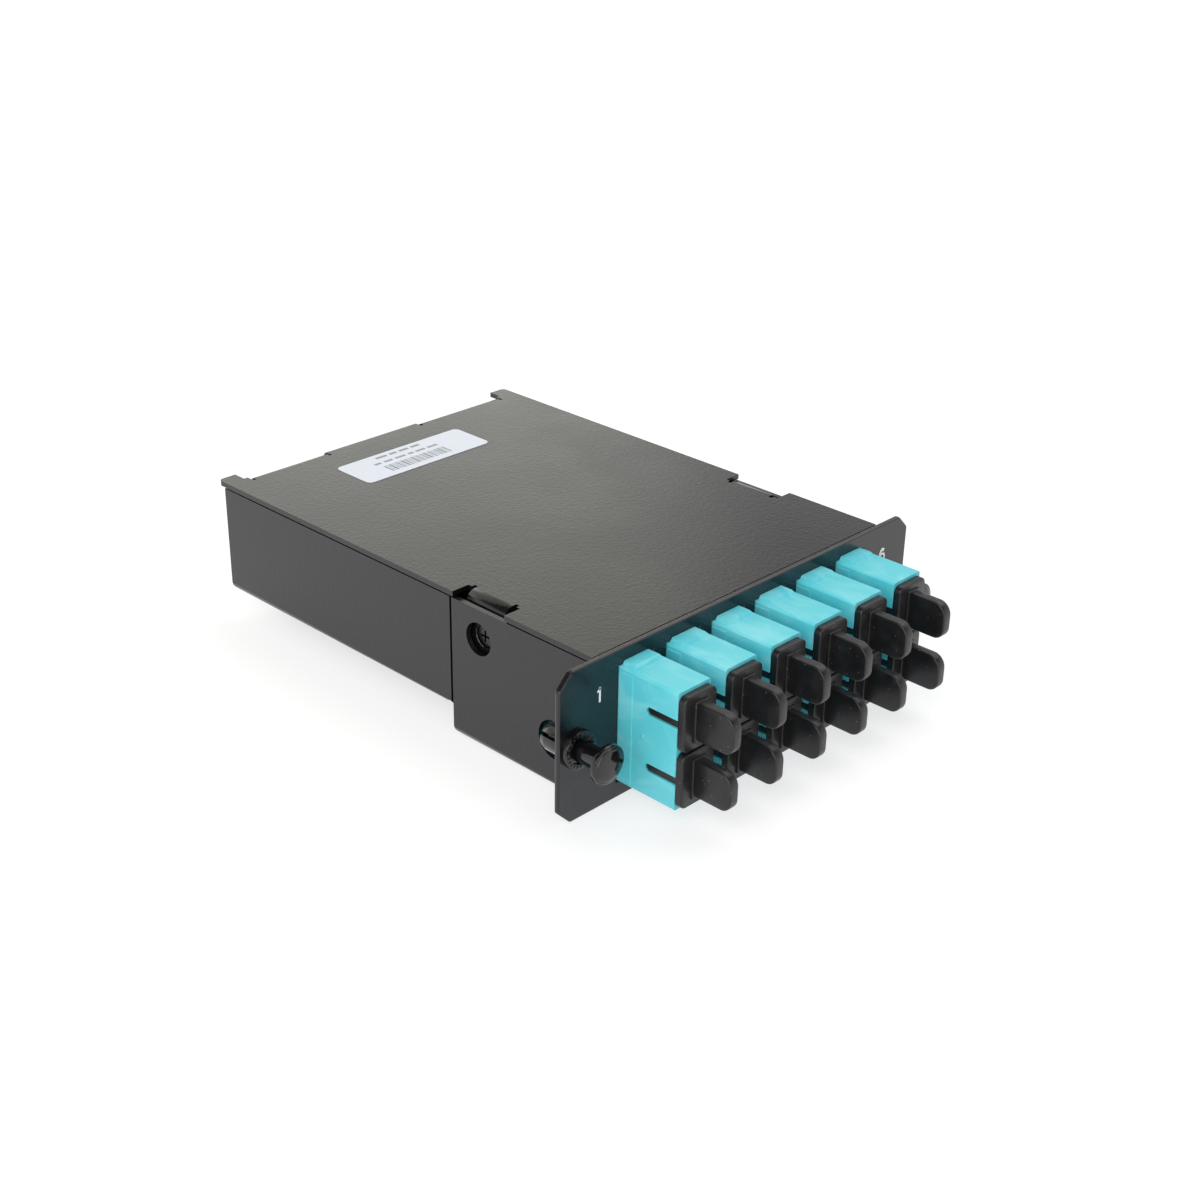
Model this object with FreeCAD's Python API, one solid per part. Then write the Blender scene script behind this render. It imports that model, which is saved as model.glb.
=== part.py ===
import FreeCAD, Part
import math
import os

# A rack cassette for optical fibre: one twelve-fibre push-pull port at the rear and six duplex
# square-connector adapters in the faceplate, twelve ports in all, each closed by a pull-off cap.
# Millimetres. X runs along the faceplate, +Y goes to the rear, +Z is up. The origin is on the
# faceplate's back face, midway between its two push fasteners.

Vec = FreeCAD.Vector

# Sheet metal
sheet = 1.2                 # every folded panel
fold_radius = 1.5           # outside radius of a fold
fit_gap = 0.3               # between panels that lie against each other

# Faceplate
plate_width = 111.7
plate_height = 34.0
plate_corner = 3.5          # 45 degree corners
stud_inset = 5.05           # from the plate's end to the middle of its push fastener

# Body behind the faceplate
body_inset = 10.4           # from the plate's end to the body's side
channel_depth = 41.0        # the deep front part, to the rear edge of its side wings
seam_gap = 0.6              # dark line between the wings and the rear housing
floor_rise = 6.4            # from the plate's lower edge up to the shallower rear housing
rear_wall_y = 117.0         # outer face of the recessed rear wall
wall_overhang = 3.1         # the side walls run past the rear wall
wall_corner = 2.0           # rounded lower corners of the side walls
front_flange = 3.4          # wing's fold behind the faceplate
riser_inset = 1.8           # from the channel's rear edge to the step up to the rear floor
lap_length = 11.0           # the riser's flange laps the rear floor this far past the channel

# Cover
cover_drop = 0.2            # below the plate's upper edge
cover_overhang = 1.9        # past the rear wall
ear_width = 4.7
ear_length = 3.5
ear_corner = 1.2
ear_gap = 1.85              # between an ear and the rear flange
notch_inset = 8.2           # from the channel's rear edge to the side notch, its tab and its screw
notch_length = 15.5
tab_length = 11.4
tab_face = 1.95             # the tab's outer face lies this far inside the body's side
tab_bend = 2.5              # outside radius of the tab's bend
tab_drop = 12.5             # from the plate's upper edge down to the tab's end
tab_corner = 1.5
relief_length = 0.9         # bend relief, past the bend line
relief_width = 1.0
rear_flange_depth = 6.0
lip_left = -16.6            # middle of the rear flange stands further out
lip_right = 11.8
lip_step = 1.0
lip_relief = 0.8

# Facets of small round pieces
screw_sides = 12
nut_sides = 6

# Cover screws, reached through round holes in the wings
screw_drop = 8.5            # below the plate's upper edge
access_radius = 3.7
screw_radius = 1.5
screw_clearance = 0.1
screw_head_radius = 2.75    # countersunk flush with the tab
countersink_gap = 0.05
screw_length = 5.5
clinch_nut_radius = 2.6
clinch_nut_height = 1.5
bracket_drop = 4.0          # below the plate's upper edge
bracket_height = 11.0
bracket_reach = 6.3         # in front of the screw
bracket_foot = 12.0
bracket_turn = 7.7          # from the screw to where the bracket turns out to the side wall
bracket_step = 4.0

# Round clearance hole in each wing, beside the push fastener
side_hole_y = 10.6
side_hole_rise = 11.0       # above the plate's lower edge
side_hole_radius = 4.4

# Push fasteners
stud_drop = 0.6             # below the plate's middle
stud_radius = 3.1
stud_root = 0.25            # the stud is this much thicker inside the faceplate
stud_length = 6.5
stud_nose = 1.5             # the stud's end narrows over this length
stud_nose_drop = 0.5
stud_slit = 0.8
slit_turn = 30.0            # degrees
grommet_radius = 4.2
grommet_height = 1.2
bore_clearance = 0.05
neck_radius = 2.3
head_radius = 4.2
head_height = 1.9
head_rim = 0.9
head_crown = 1.5            # the crown's slope starts this far inside the rim
head_gap = 6.3              # from the grommet to the underside of the pulled-out head
neck_reach = 1.5            # how far the neck stands behind the plate when pulled out
pin_radius = 1.6            # thinner end of the plunger, held in the stud
pin_reach = 5.5

# Duplex adapters
adapter_count = 6
adapter_margin = 6.05       # between the outer adapters and the body's sides
port_pitch = 12.7
adapter_width = 9.5
adapter_height = 26.4
adapter_front = 15.4        # proud of the plate
adapter_rear = 10.6         # behind the plate's back face
adapter_edge = 0.4
adapter_flange_width = 9.9
adapter_flange_height = 28.0
adapter_flange_depth = 3.6
flange_bevel_x = 1.5
flange_bevel_z = 2.0
flange_slope = 0.7
adapter_hole_gap = 0.1
port_width = 7.5
port_height = 9.1
key_width = 1.8
key_length = 8.0
key_end_sides = 8           # facets of the slot's round end
catch_width = 5.0
catch_height = 0.7
catch_length = 2.6
catch_gap = 0.1
catch_root = 0.2            # how deep the catch is set into the body

# Latch insert inside each port
insert_gap = 0.05
web_thickness = 2.0
holder_width = 4.4
holder_sides = 8
holder_length = 12.0
arm_length = 6.0
arm_thickness = 0.8
arm_width = 2.6
arm_offset = 3.55
barb = 0.5
barb_length = 1.4

# Split alignment sleeve and ferrule
sleeve_sides = 8
sleeve_radius = 1.58
sleeve_bore = 1.28
sleeve_length = 11.4
sleeve_slit = 0.3
small_gap = 0.03            # running clearance of the smallest pieces
ferrule_radius = 1.25

# Inner connectors behind the adapters
connector_gap = 0.1
connector_front = 4.3
connector_end = 22.0
connector_edge = 0.6
nose_width = 5.8
nose_height = 6.0
nose_bore = 4.7
nose_gap = 0.25
boot_length = 14.0
boot_wide = 5.0
boot_narrow = 2.2
boot_sides = 8

# Dust caps
cap_gap = 0.1
cap_plug_length = 6.4
cap_plug_wall = 0.9
cap_flange_width = 9.3
cap_flange_height = 12.2
cap_flange_depth = 1.6
cap_flange_bevel = 0.9
cap_base_width = 3.8
cap_base_depth = 0.5
cap_key_drop = 0.35         # the cap's key lies this far inside the adapter's side
fin_thickness = 2.4
fin_height = 8.4
fin_length = 8.95
fin_corner_top = 3.0
fin_corner_bottom = 2.5

# Label on the cover
label_x = -2.5
label_y = 102.6
label_length = 38.1
label_width = 12.7
label_corner = 1.5
label_thickness = 0.12

# Rear twelve-fibre port
mpo_inset = 18.45           # from the body's side
mpo_z = -1.0
mpo_width = 12.8
mpo_height = 9.4
mpo_hole_gap = 0.15
mpo_port_width = 10.0
mpo_port_height = 7.4
mpo_outside = 9.0           # proud of the rear wall
mpo_inside = 11.3           # inside the rear wall's inner face
mpo_flange_width = 22.0
mpo_flange_depth = 1.2
mpo_screw_spacing = 17.6
mpo_screw_radius = 0.95
mpo_screw_clearance = 0.1
mpo_head_radius = 1.75
mpo_head_height = 1.2
mpo_nut_width = 4.0
mpo_nut_height = 1.5
mpo_cap_plug = 6.0
mpo_cap_wall = 0.9
mpo_cap_flange = 1.2
mpo_cap_lip = 0.5
mpo_cap_grip = 3.6
mpo_cap_grip_height = 4.0
mpo_cap_corner = 1.0

# Inner connector of the rear port
mpo_ferrule_width = 6.4
mpo_ferrule_height = 2.5
mpo_ferrule_reach = 0.6     # past the rear wall's outer face
mpo_ferrule_length = 6.0
guide_pin_radius = 0.35
guide_pin_spacing = 4.6
guide_pin_length = 2.0
mpo_plug_wall = 0.1
mpo_plug_inset = 2.0        # in front of the rear wall's outer face
mpo_grip_width = 12.2
mpo_grip_height = 8.6
mpo_grip_length = 25.0      # measured from the rear wall's outer face
mpo_grip_edge = 0.8
mpo_boot_length = 6.0
mpo_boot_width = 7.0
mpo_boot_height = 4.6
mpo_boot_end = 2.6

# Fan-out block and the fibres
block_front = 72.0
block_length = 12.0
block_width = 20.0
block_height = 5.6
block_edge = 0.8
pad_thickness = 1.0
pad_inset = 1.0
lead_pitch = 3.0
lead_row_pitch = 3.0        # between the two rows of leads
lead_top_drop = 1.8         # upper row below the block's top
lead_radius = 0.45
lead_sides = 5
lead_facets = 2
trunk_radius = 1.0
trunk_sides = 6
trunk_facets = 4
trunk_inset = 9.45          # from the body's side
trunk_front_gap = 9.0       # in front of the fan-out block
trunk_rear_gap = 9.0        # in front of the rear wall
arc_share = 0.95            # of what a corner has of the runs beside it
saddle_length = 6.0
saddle_gap = 0.1
saddle_wall = 1.0
saddle_offset = 3.5         # behind the fan-out block

# Rivets through the lap joint in the floor
rivet_inset = 9.45          # of the outer rivets, from the body's sides
rivet_half_gap = 13.0       # of the two inner rivets, from the middle
rivet_offset = 6.0          # behind the channel's rear edge
rivet_radius = 1.2
rivet_clearance = 0.05
rivet_head_radius = 2.2
rivet_head_height = 0.7
rivet_sides = 8

# Worked out from the sizes above
near = 0.01                 # two places this close are the same
plate_front = -sheet
stud_spacing = plate_width - 2 * stud_inset
half_body = plate_width / 2 - body_inset
wall_inner = half_body - sheet
adapter_span = 2 * (half_body - adapter_margin) - adapter_flange_width
adapter_pitch = adapter_span / (adapter_count - 1)
rear_floor_z = floor_rise - plate_height / 2
tab_bottom_z = plate_height / 2 - tab_drop
screw_z = plate_height / 2 - screw_drop
bracket_high_z = plate_height / 2 - bracket_drop
bracket_low_z = bracket_high_z - bracket_height
side_hole_z = side_hole_rise - plate_height / 2
side_wall_end = rear_wall_y + wall_overhang
riser_y = channel_depth - riser_inset
lap_end = channel_depth + lap_length
cover_top_z = plate_height / 2 - cover_drop
cover_rear = rear_wall_y + cover_overhang
ear_end = cover_rear + ear_length
rear_flange_end = half_body - ear_width - ear_gap
notch_y = channel_depth - notch_inset
bracket_front = notch_y - bracket_reach
bracket_step_y = notch_y + bracket_turn
cover_under = cover_top_z - sheet
wall_top = cover_under - fit_gap
channel_floor = -plate_height / 2
rear_floor_top = rear_floor_z + sheet
housing_front = channel_depth + seam_gap
tab_outer = half_body - tab_face
tab_inner = tab_outer - sheet
bend_line = tab_outer - tab_bend
bracket_inner = tab_inner - sheet
adapter_face = plate_front - adapter_front
adapter_middle = (adapter_face + adapter_rear) / 2
stud_root_radius = stud_radius + stud_root
stud_hole_radius = stud_root_radius + bore_clearance
grommet_face = plate_front - grommet_height
head_back = grommet_face - head_gap
mpo_x = half_body - mpo_inset
mpo_face = rear_wall_y + mpo_outside
mpo_back = rear_wall_y - sheet - mpo_inside
mpo_ferrule_front = rear_wall_y + mpo_ferrule_reach
mpo_plug_front = rear_wall_y - mpo_plug_inset
mpo_grip_end = rear_wall_y - mpo_grip_length
block_floor = rear_floor_top + pad_thickness
block_top = block_floor + block_height
block_back = block_front + block_length
trunk_left = trunk_inset - half_body
trunk_front = block_front - trunk_front_gap
trunk_rear = rear_wall_y - trunk_rear_gap
saddle_y = block_back + saddle_offset
rivet_far = half_body - rivet_inset
rivet_columns = (-rivet_far, -rivet_half_gap, rivet_half_gap, rivet_far)
rivet_y = channel_depth + rivet_offset


def box(x0, x1, y0, y1, z0, z1):
    corner = Vec(min(x0, x1), min(y0, y1), min(z0, z1))
    return Part.makeBox(abs(x1 - x0), abs(y1 - y0), abs(z1 - z0), corner)


def place(a, b, axis, along):
    if axis == "X":
        return Vec(along, a, b)
    if axis == "Y":
        return Vec(a, along, b)
    return Vec(a, b, along)


def direction(axis, length):
    return place(0, 0, axis, length)


def extrude(points, axis, start, end):
    """A straight-sided outline, drawn across the axis and pushed along it."""
    corners = [place(a, b, axis, start) for a, b in points]
    face = Part.Face(Part.makePolygon(corners + [corners[0]]))
    return face.extrude(direction(axis, end - start))


def rod(axis, a, b, radius, start, end):
    centre = place(a, b, axis, start)
    return Part.makeCylinder(radius, abs(end - start), centre, direction(axis, end - start))


def ring_points(sides, apothem, a, b):
    radius = apothem / math.cos(math.pi / sides)
    turns = [(k + 0.5) * 2 * math.pi / sides for k in range(sides)]
    return [(a + radius * math.cos(t), b + radius * math.sin(t)) for t in turns]


def prism(axis, sides, a, b, apothem, start, end):
    return extrude(ring_points(sides, apothem, a, b), axis, start, end)


def ring(points, axis, along):
    return [place(a, b, axis, along) for a, b in points]


def solid_between(rings):
    """A flat-sided solid through rings of corners, closed at both ends."""
    faces = [Part.Face(Part.makePolygon(end + [end[0]])) for end in (rings[0], rings[-1])]
    for first, second in zip(rings, rings[1:]):
        count = len(first)
        for k in range(count):
            n = (k + 1) % count
            corners = [first[k], first[n], second[n], second[k], first[k]]
            faces.append(Part.Face(Part.makePolygon(corners)))
    solid = Part.Solid(Part.Shell(faces))
    if solid.Volume < 0:
        solid.reverse()
    return solid


def frustum(sides, x, z, y0, apothem0, y1, apothem1):
    """A tapered prism along Y."""
    return solid_between([ring(ring_points(sides, apothem0, x, z), "Y", y0),
                          ring(ring_points(sides, apothem1, x, z), "Y", y1)])


def tapered_block(x, z, y0, size0, y1, size1):
    """A block along Y whose section goes from one rectangle to another."""
    rings = []
    for along, (width, height) in ((y0, size0), (y1, size1)):
        w, h = width / 2, height / 2
        rings.append(ring([(x - w, z - h), (x + w, z - h), (x + w, z + h), (x - w, z + h)], "Y", along))
    return solid_between(rings)


def edges_where(shape, test):
    return [edge for edge in shape.Edges if test(edge)]


def runs_along(edge, axis):
    first, last = edge.Vertexes[0].Point, edge.Vertexes[-1].Point
    span = last - first
    across = [abs(getattr(span, name)) for name in "xyz" if name != axis.lower()]
    return span.Length > 1e-6 and max(across) < 1e-6


def middle(edge):
    return edge.BoundBox.Center


def round_edges(shape, radius, test):
    return shape.makeFillet(radius, edges_where(shape, test))


def bevel_edges(shape, size, test):
    return shape.makeChamfer(size, edges_where(shape, test))


def adapter_x(number):
    return (number - (adapter_count + 1) / 2) * adapter_pitch


def port_heights():
    return (port_pitch / 2, -port_pitch / 2)


def faceplate():
    w, h, c = plate_width / 2, plate_height / 2, plate_corner
    outline = [(-w, c - h), (c - w, -h), (w - c, -h), (w, c - h),
               (w, h - c), (w - c, h), (c - w, h), (-w, h - c)]
    plate = extrude(outline, "Y", plate_front, 0)
    half_w = adapter_width / 2 + adapter_hole_gap
    half_h = adapter_height / 2 + adapter_hole_gap
    for number in range(1, adapter_count + 1):
        x = adapter_x(number)
        plate = plate.cut(box(x - half_w, x + half_w, plate_front, 0, -half_h, half_h))
    for side in (-1, 1):
        plate = plate.cut(rod("Y", side * stud_spacing / 2, -stud_drop, stud_hole_radius,
                              plate_front, 0))
    return plate


def front_channel():
    """The deep front part: a folded trough with a step up to the rear floor."""
    trough = box(-half_body, half_body, 0, channel_depth, channel_floor, wall_top)
    trough = trough.cut(box(-wall_inner, wall_inner, 0, channel_depth, channel_floor + sheet, wall_top))
    trough = trough.cut(box(-wall_inner, wall_inner, riser_y, channel_depth, channel_floor, wall_top))
    for side in (-1, 1):
        flange_in = side * (wall_inner - front_flange)
        trough = trough.fuse(box(side * wall_inner, flange_in, 0, sheet, channel_floor + sheet, wall_top))
    trough = trough.removeSplitter()
    trough = round_edges(trough, fold_radius, lambda e: (
        (runs_along(e, "Y") and abs(middle(e).z - channel_floor) < near
         and abs(abs(middle(e).x) - half_body) < near)
        or (runs_along(e, "Z") and abs(middle(e).y) < near
            and abs(abs(middle(e).x) - half_body) < near)))
    for side in (-1, 1):
        face = side * half_body
        inner = side * wall_inner
        trough = trough.cut(rod("X", notch_y, screw_z, access_radius, face, inner))
        trough = trough.cut(rod("X", side_hole_y, side_hole_z, side_hole_radius, face, inner))
        trough = trough.cut(lower_corner(side, channel_depth, channel_floor))
    step = box(-wall_inner, wall_inner, riser_y - sheet, riser_y, channel_floor, rear_floor_top + sheet)
    step = step.fuse(box(-wall_inner + fit_gap, wall_inner - fit_gap, riser_y - sheet, lap_end,
                         rear_floor_top, rear_floor_top + sheet))
    trough = trough.fuse(step).removeSplitter()
    return trough.cut(rivet_holes())


def lower_corner(side, wall_end, bottom):
    """What is cut away to round the lower rear corner of a side wall."""
    r = wall_corner
    corner = box(side * half_body, side * wall_inner, wall_end - r, wall_end, bottom, bottom + r)
    return corner.cut(rod("X", wall_end - r, bottom + r, r, side * half_body, side * wall_inner))


def rivet_holes():
    radius = rivet_radius + rivet_clearance
    holes = [prism("Z", rivet_sides, x, rivet_y, radius, rear_floor_z, rear_floor_top + sheet)
             for x in rivet_columns]
    return Part.makeCompound(holes)


def rear_housing():
    """The shallower tray behind the seam: floor, two side walls and a recessed rear wall."""
    tray = box(-half_body, half_body, housing_front, side_wall_end, rear_floor_z, wall_top)
    tray = round_edges(tray, fold_radius, lambda e: (
        runs_along(e, "Y") and abs(middle(e).z - rear_floor_z) < near))
    tray = tray.cut(box(-wall_inner, wall_inner, housing_front, side_wall_end, rear_floor_top, wall_top))
    tray = tray.cut(box(-wall_inner, wall_inner, rear_wall_y, side_wall_end, rear_floor_z, wall_top))
    for side in (-1, 1):
        tray = tray.cut(lower_corner(side, side_wall_end, rear_floor_z))
        relief = rod("X", housing_front + relief_width, rear_floor_z, relief_width,
                     side * half_body, side * (wall_inner - sheet))
        tray = tray.cut(relief)
    back = box(-wall_inner + fit_gap, wall_inner - fit_gap, rear_wall_y - sheet, rear_wall_y,
               rear_floor_top, wall_top)
    tray = tray.fuse(back).removeSplitter()
    fold_y, fold_z = rear_wall_y - fold_radius, rear_floor_z + fold_radius
    fold = box(-wall_inner, wall_inner, fold_y, rear_wall_y, rear_floor_z, fold_z)
    tray = tray.cut(fold.cut(rod("X", fold_y, fold_z, fold_radius, -wall_inner, wall_inner)))
    half_w = mpo_width / 2 + mpo_hole_gap
    half_h = mpo_height / 2 + mpo_hole_gap
    opening = box(mpo_x - half_w, mpo_x + half_w, rear_wall_y - sheet, rear_wall_y,
                  mpo_z - half_h, mpo_z + half_h)
    tray = tray.cut(opening)
    for x in mpo_screw_columns():
        tray = tray.cut(prism("Y", screw_sides, x, mpo_z, mpo_screw_radius + mpo_screw_clearance,
                              rear_wall_y - sheet, rear_wall_y))
    return tray.cut(rivet_holes())


def mpo_screw_columns():
    return (mpo_x - mpo_screw_spacing / 2, mpo_x + mpo_screw_spacing / 2)


def folded_tab(flat_end, face, bend, top, bottom, thickness):
    """Closed outline of a sheet that runs outwards, turns down and hangs, drawn left to right."""
    sign = 1 if face > flat_end else -1
    inner_bend = bend - thickness
    centre = (face - sign * bend, top - bend)
    half = math.sqrt(0.5)
    outer_mid = (centre[0] + sign * bend * half, centre[1] + bend * half)
    inner_mid = (centre[0] + sign * inner_bend * half, centre[1] + inner_bend * half)
    inner_face = face - sign * thickness
    return [("line", (flat_end, top), (centre[0], top)),
            ("arc", (centre[0], top), outer_mid, (face, centre[1])),
            ("line", (face, centre[1]), (face, bottom)),
            ("line", (face, bottom), (inner_face, bottom)),
            ("line", (inner_face, bottom), (inner_face, centre[1])),
            ("arc", (inner_face, centre[1]), inner_mid, (centre[0], top - thickness)),
            ("line", (centre[0], top - thickness), (flat_end, top - thickness)),
            ("line", (flat_end, top - thickness), (flat_end, top))]


def extrude_outline(steps, axis, start, end):
    edges = []
    for kind, *points in steps:
        spots = [place(a, b, axis, start) for a, b in points]
        if kind == "arc":
            edges.append(Part.Arc(*spots).toShape())
        elif (spots[1] - spots[0]).Length > 1e-6:
            edges.append(Part.LineSegment(*spots).toShape())
    return Part.Face(Part.Wire(edges)).extrude(direction(axis, end - start))


def side_tab(side):
    root = side * (bend_line - sheet)
    steps = folded_tab(root, side * tab_outer, tab_bend, cover_top_z, tab_bottom_z, sheet)
    tab = extrude_outline(steps, "Y", notch_y - tab_length / 2, notch_y + tab_length / 2)
    tab = round_edges(tab, tab_corner, lambda e: (
        runs_along(e, "X") and abs(middle(e).z - tab_bottom_z) < near))
    hole = prism("X", screw_sides, notch_y, screw_z, screw_radius + screw_clearance,
                 side * tab_outer, side * tab_inner)
    return tab.cut(hole).cut(countersunk_cone(side, countersink_gap))


def countersunk_cone(side, gap):
    """A 90 degree cone, in facets, that narrows inwards from the tab's outer face."""
    depth = screw_head_radius - screw_radius
    wide = ring_points(screw_sides, screw_head_radius + gap, notch_y, screw_z)
    narrow = ring_points(screw_sides, screw_radius + gap, notch_y, screw_z)
    return solid_between([ring(wide, "X", side * tab_outer), ring(narrow, "X", side * (tab_outer - depth))])


def rear_lip(x0, x1, face):
    """One length of the cover's rear edge, folded down behind the rear wall."""
    root = cover_rear - lip_relief - fold_radius
    steps = folded_tab(root, face, fold_radius, cover_top_z, cover_top_z - rear_flange_depth, sheet)
    return extrude_outline(steps, "X", x0, x1)


def top_cover():
    panel = box(-half_body, half_body, fit_gap, cover_rear, cover_under, cover_top_z)
    for side in (-1, 1):
        inner = side * (half_body - ear_width)
        panel = panel.fuse(box(side * half_body, inner, cover_rear, ear_end, cover_under, cover_top_z))
    panel = panel.removeSplitter()
    panel = round_edges(panel, ear_corner, lambda e: (
        runs_along(e, "Z") and abs(middle(e).y - ear_end) < near
        and abs(abs(middle(e).x) - half_body) < near))
    front, rear = notch_y - notch_length / 2, notch_y + notch_length / 2
    tab_front, tab_rear = notch_y - tab_length / 2, notch_y + tab_length / 2
    for side in (-1, 1):
        line = side * bend_line
        deep = side * (bend_line - relief_length)
        panel = panel.cut(box(side * half_body, line, front, rear, cover_under, cover_top_z))
        panel = panel.cut(box(line, deep, tab_rear, tab_rear + relief_width, cover_under, cover_top_z))
        panel = panel.cut(box(line, deep, tab_front - relief_width, tab_front, cover_under, cover_top_z))
        panel = panel.fuse(side_tab(side))
    root = cover_rear - lip_relief - fold_radius
    panel = panel.cut(box(-rear_flange_end - lip_relief, rear_flange_end + lip_relief,
                          root, ear_end, cover_under, cover_top_z))
    lengths = ((-rear_flange_end, lip_left - lip_relief, cover_rear),
               (lip_left, lip_right, cover_rear + lip_step),
               (lip_right + lip_relief, rear_flange_end, cover_rear))
    for x0, x1, face in lengths:
        panel = panel.fuse(rear_lip(x0, x1, face))
    return panel.removeSplitter()


def label():
    x0, x1 = label_x - label_length / 2, label_x + label_length / 2
    y0, y1 = label_y - label_width / 2, label_y + label_width / 2
    film = box(x0, x1, y0, y1, cover_top_z, cover_top_z + label_thickness)
    return round_edges(film, label_corner, lambda e: runs_along(e, "Z"))


def cover_bracket(side):
    """Stands behind the cover's tab and is welded to the side wall of the rear housing."""
    outer, inner = tab_inner, bracket_inner
    foot_outer, foot_inner = wall_inner, wall_inner - sheet
    turn = bracket_step_y
    end = turn + bracket_step + bracket_foot
    outline = [(foot_outer, end), (foot_outer, turn + bracket_step), (outer, turn),
               (outer, bracket_front), (inner, bracket_front), (inner, turn + sheet / 2),
               (foot_inner, turn + bracket_step + sheet / 2), (foot_inner, end)]
    leaf = extrude([(side * x, y) for x, y in outline], "Z", bracket_low_z, bracket_high_z)
    return leaf.cut(prism("X", screw_sides, notch_y, screw_z, screw_radius + screw_clearance,
                          side * outer, side * inner))


def cover_screws():
    screws = []
    for side in (-1, 1):
        shank = prism("X", screw_sides, notch_y, screw_z, screw_radius, side * tab_outer,
                      side * (tab_outer - screw_length))
        screws.append(countersunk_cone(side, 0).fuse(shank).removeSplitter())
    return Part.makeCompound(screws)


def clinch_nuts():
    nuts = []
    for side in (-1, 1):
        start, end = side * bracket_inner, side * (bracket_inner - clinch_nut_height)
        nut = prism("X", screw_sides, notch_y, screw_z, clinch_nut_radius, start, end)
        nuts.append(nut.cut(prism("X", screw_sides, notch_y, screw_z, screw_radius + small_gap,
                                  start, end)))
    return Part.makeCompound(nuts)


def floor_rivets():
    rivets = []
    low, high = rear_floor_z, rear_floor_top + sheet
    for x in rivet_columns:
        rivet = prism("Z", rivet_sides, x, rivet_y, rivet_radius, low, high)
        rivet = rivet.fuse(prism("Z", rivet_sides, x, rivet_y, rivet_head_radius, high,
                                 high + rivet_head_height))
        rivet = rivet.fuse(prism("Z", rivet_sides, x, rivet_y, rivet_head_radius,
                                 low - rivet_head_height, low))
        rivets.append(rivet.removeSplitter())
    return Part.makeCompound(rivets)


def grommets():
    """Collars on the faceplate, each with a split stud that goes through it and the rack's bracket."""
    collars = []
    half = stud_slit / 2
    for side in (-1, 1):
        x = side * stud_spacing / 2
        bore = neck_radius + bore_clearance
        nose = stud_radius - stud_nose_drop
        profile = [(bore, grommet_face), (grommet_radius, grommet_face), (grommet_radius, plate_front),
                   (stud_root_radius, plate_front), (stud_root_radius, 0), (stud_radius, 0),
                   (stud_radius, stud_length - stud_nose), (nose, stud_length), (bore, stud_length)]
        body = turned(profile, x)
        for turn in (slit_turn, slit_turn + 90):
            slit = box(x - stud_radius, x + stud_radius, 0, stud_length,
                       -half - stud_drop, half - stud_drop)
            slit.rotate(Vec(x, 0, -stud_drop), Vec(0, 1, 0), turn)
            body = body.cut(slit)
        collars.append(body.removeSplitter())
    return Part.makeCompound(collars)


def turned(profile, x):
    """A profile of (radius, y) points, turned about the push fastener's line at this x."""
    corners = [Vec(x + a, b, -stud_drop) for a, b in profile]
    face = Part.Face(Part.makePolygon(corners + [corners[0]]))
    return face.revolve(Vec(x, 0, -stud_drop), Vec(0, 1, 0), 360)


def plunger(side):
    """Crowned head, the neck that spreads the stud when pushed in, and a thinner end."""
    front, rim = head_back - head_height, head_back - head_rim
    profile = [(0, front), (head_radius - head_crown, front), (head_radius, rim),
               (head_radius, head_back), (neck_radius, head_back), (neck_radius, neck_reach),
               (pin_radius, neck_reach), (pin_radius, pin_reach), (0, pin_reach)]
    return turned(profile, side * stud_spacing / 2)


def sc_adapter(number):
    """One moulded duplex housing: flange on the plate, two through ports with key slots."""
    x = adapter_x(number)
    w, h = adapter_width / 2, adapter_height / 2
    body = box(x - w, x + w, adapter_face, adapter_rear, -h, h)
    body = bevel_edges(body, adapter_edge, lambda e: runs_along(e, "Y"))
    fw, fh = adapter_flange_width / 2, adapter_flange_height / 2
    bx, bz = flange_bevel_x, flange_bevel_z
    outline = [(x - fw, bz - fh), (x + bx - fw, -fh), (x + fw - bx, -fh), (x + fw, bz - fh),
               (x + fw, fh - bz), (x + fw - bx, fh), (x + bx - fw, fh), (x - fw, fh - bz)]
    flange_front = plate_front - adapter_flange_depth
    flange = extrude(outline, "Y", flange_front, plate_front)
    flange = bevel_edges(flange, flange_slope, lambda e: (
        runs_along(e, "X") and abs(middle(e).y - flange_front) < near))
    body = body.fuse(flange)
    for top in (-1, 1):
        root = top * (h - catch_root)
        catch = [(catch_gap, root), (catch_gap, top * (h + catch_height)),
                 (catch_gap + catch_length, root)]
        body = body.fuse(extrude(catch, "X", x - catch_width / 2, x + catch_width / 2))
    for z in port_heights():
        body = body.cut(box(x - port_width / 2, x + port_width / 2, adapter_face, adapter_rear,
                            z - port_height / 2, z + port_height / 2))
        slot_end = adapter_face + key_length
        slot_half = key_width / 2
        body = body.cut(box(x - w, x - port_width / 2, adapter_face, slot_end - slot_half,
                            z - slot_half, z + slot_half))
        body = body.cut(prism("X", key_end_sides, slot_end - slot_half, z, slot_half,
                              x - w, x - port_width / 2))
        body = body.cut(box(x - w, x - port_width / 2, adapter_rear - key_length, adapter_rear,
                            z - slot_half, z + slot_half))
    return body.removeSplitter()


def latch_arm(x, z, above, facing):
    """One hook arm of an insert: above is +1 or -1, facing is the way it points along Y."""
    root = adapter_middle + facing * web_thickness / 2
    tip = root + facing * arm_length
    inner, outer = arm_offset, arm_offset + arm_thickness
    shape = [(root, inner), (root, outer), (tip, outer),
             (tip - facing * barb_length / 2, inner - barb), (tip - facing * barb_length, inner)]
    points = [(y, z + above * height) for y, height in shape]
    return extrude(points, "X", x - arm_width / 2, x + arm_width / 2)


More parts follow.
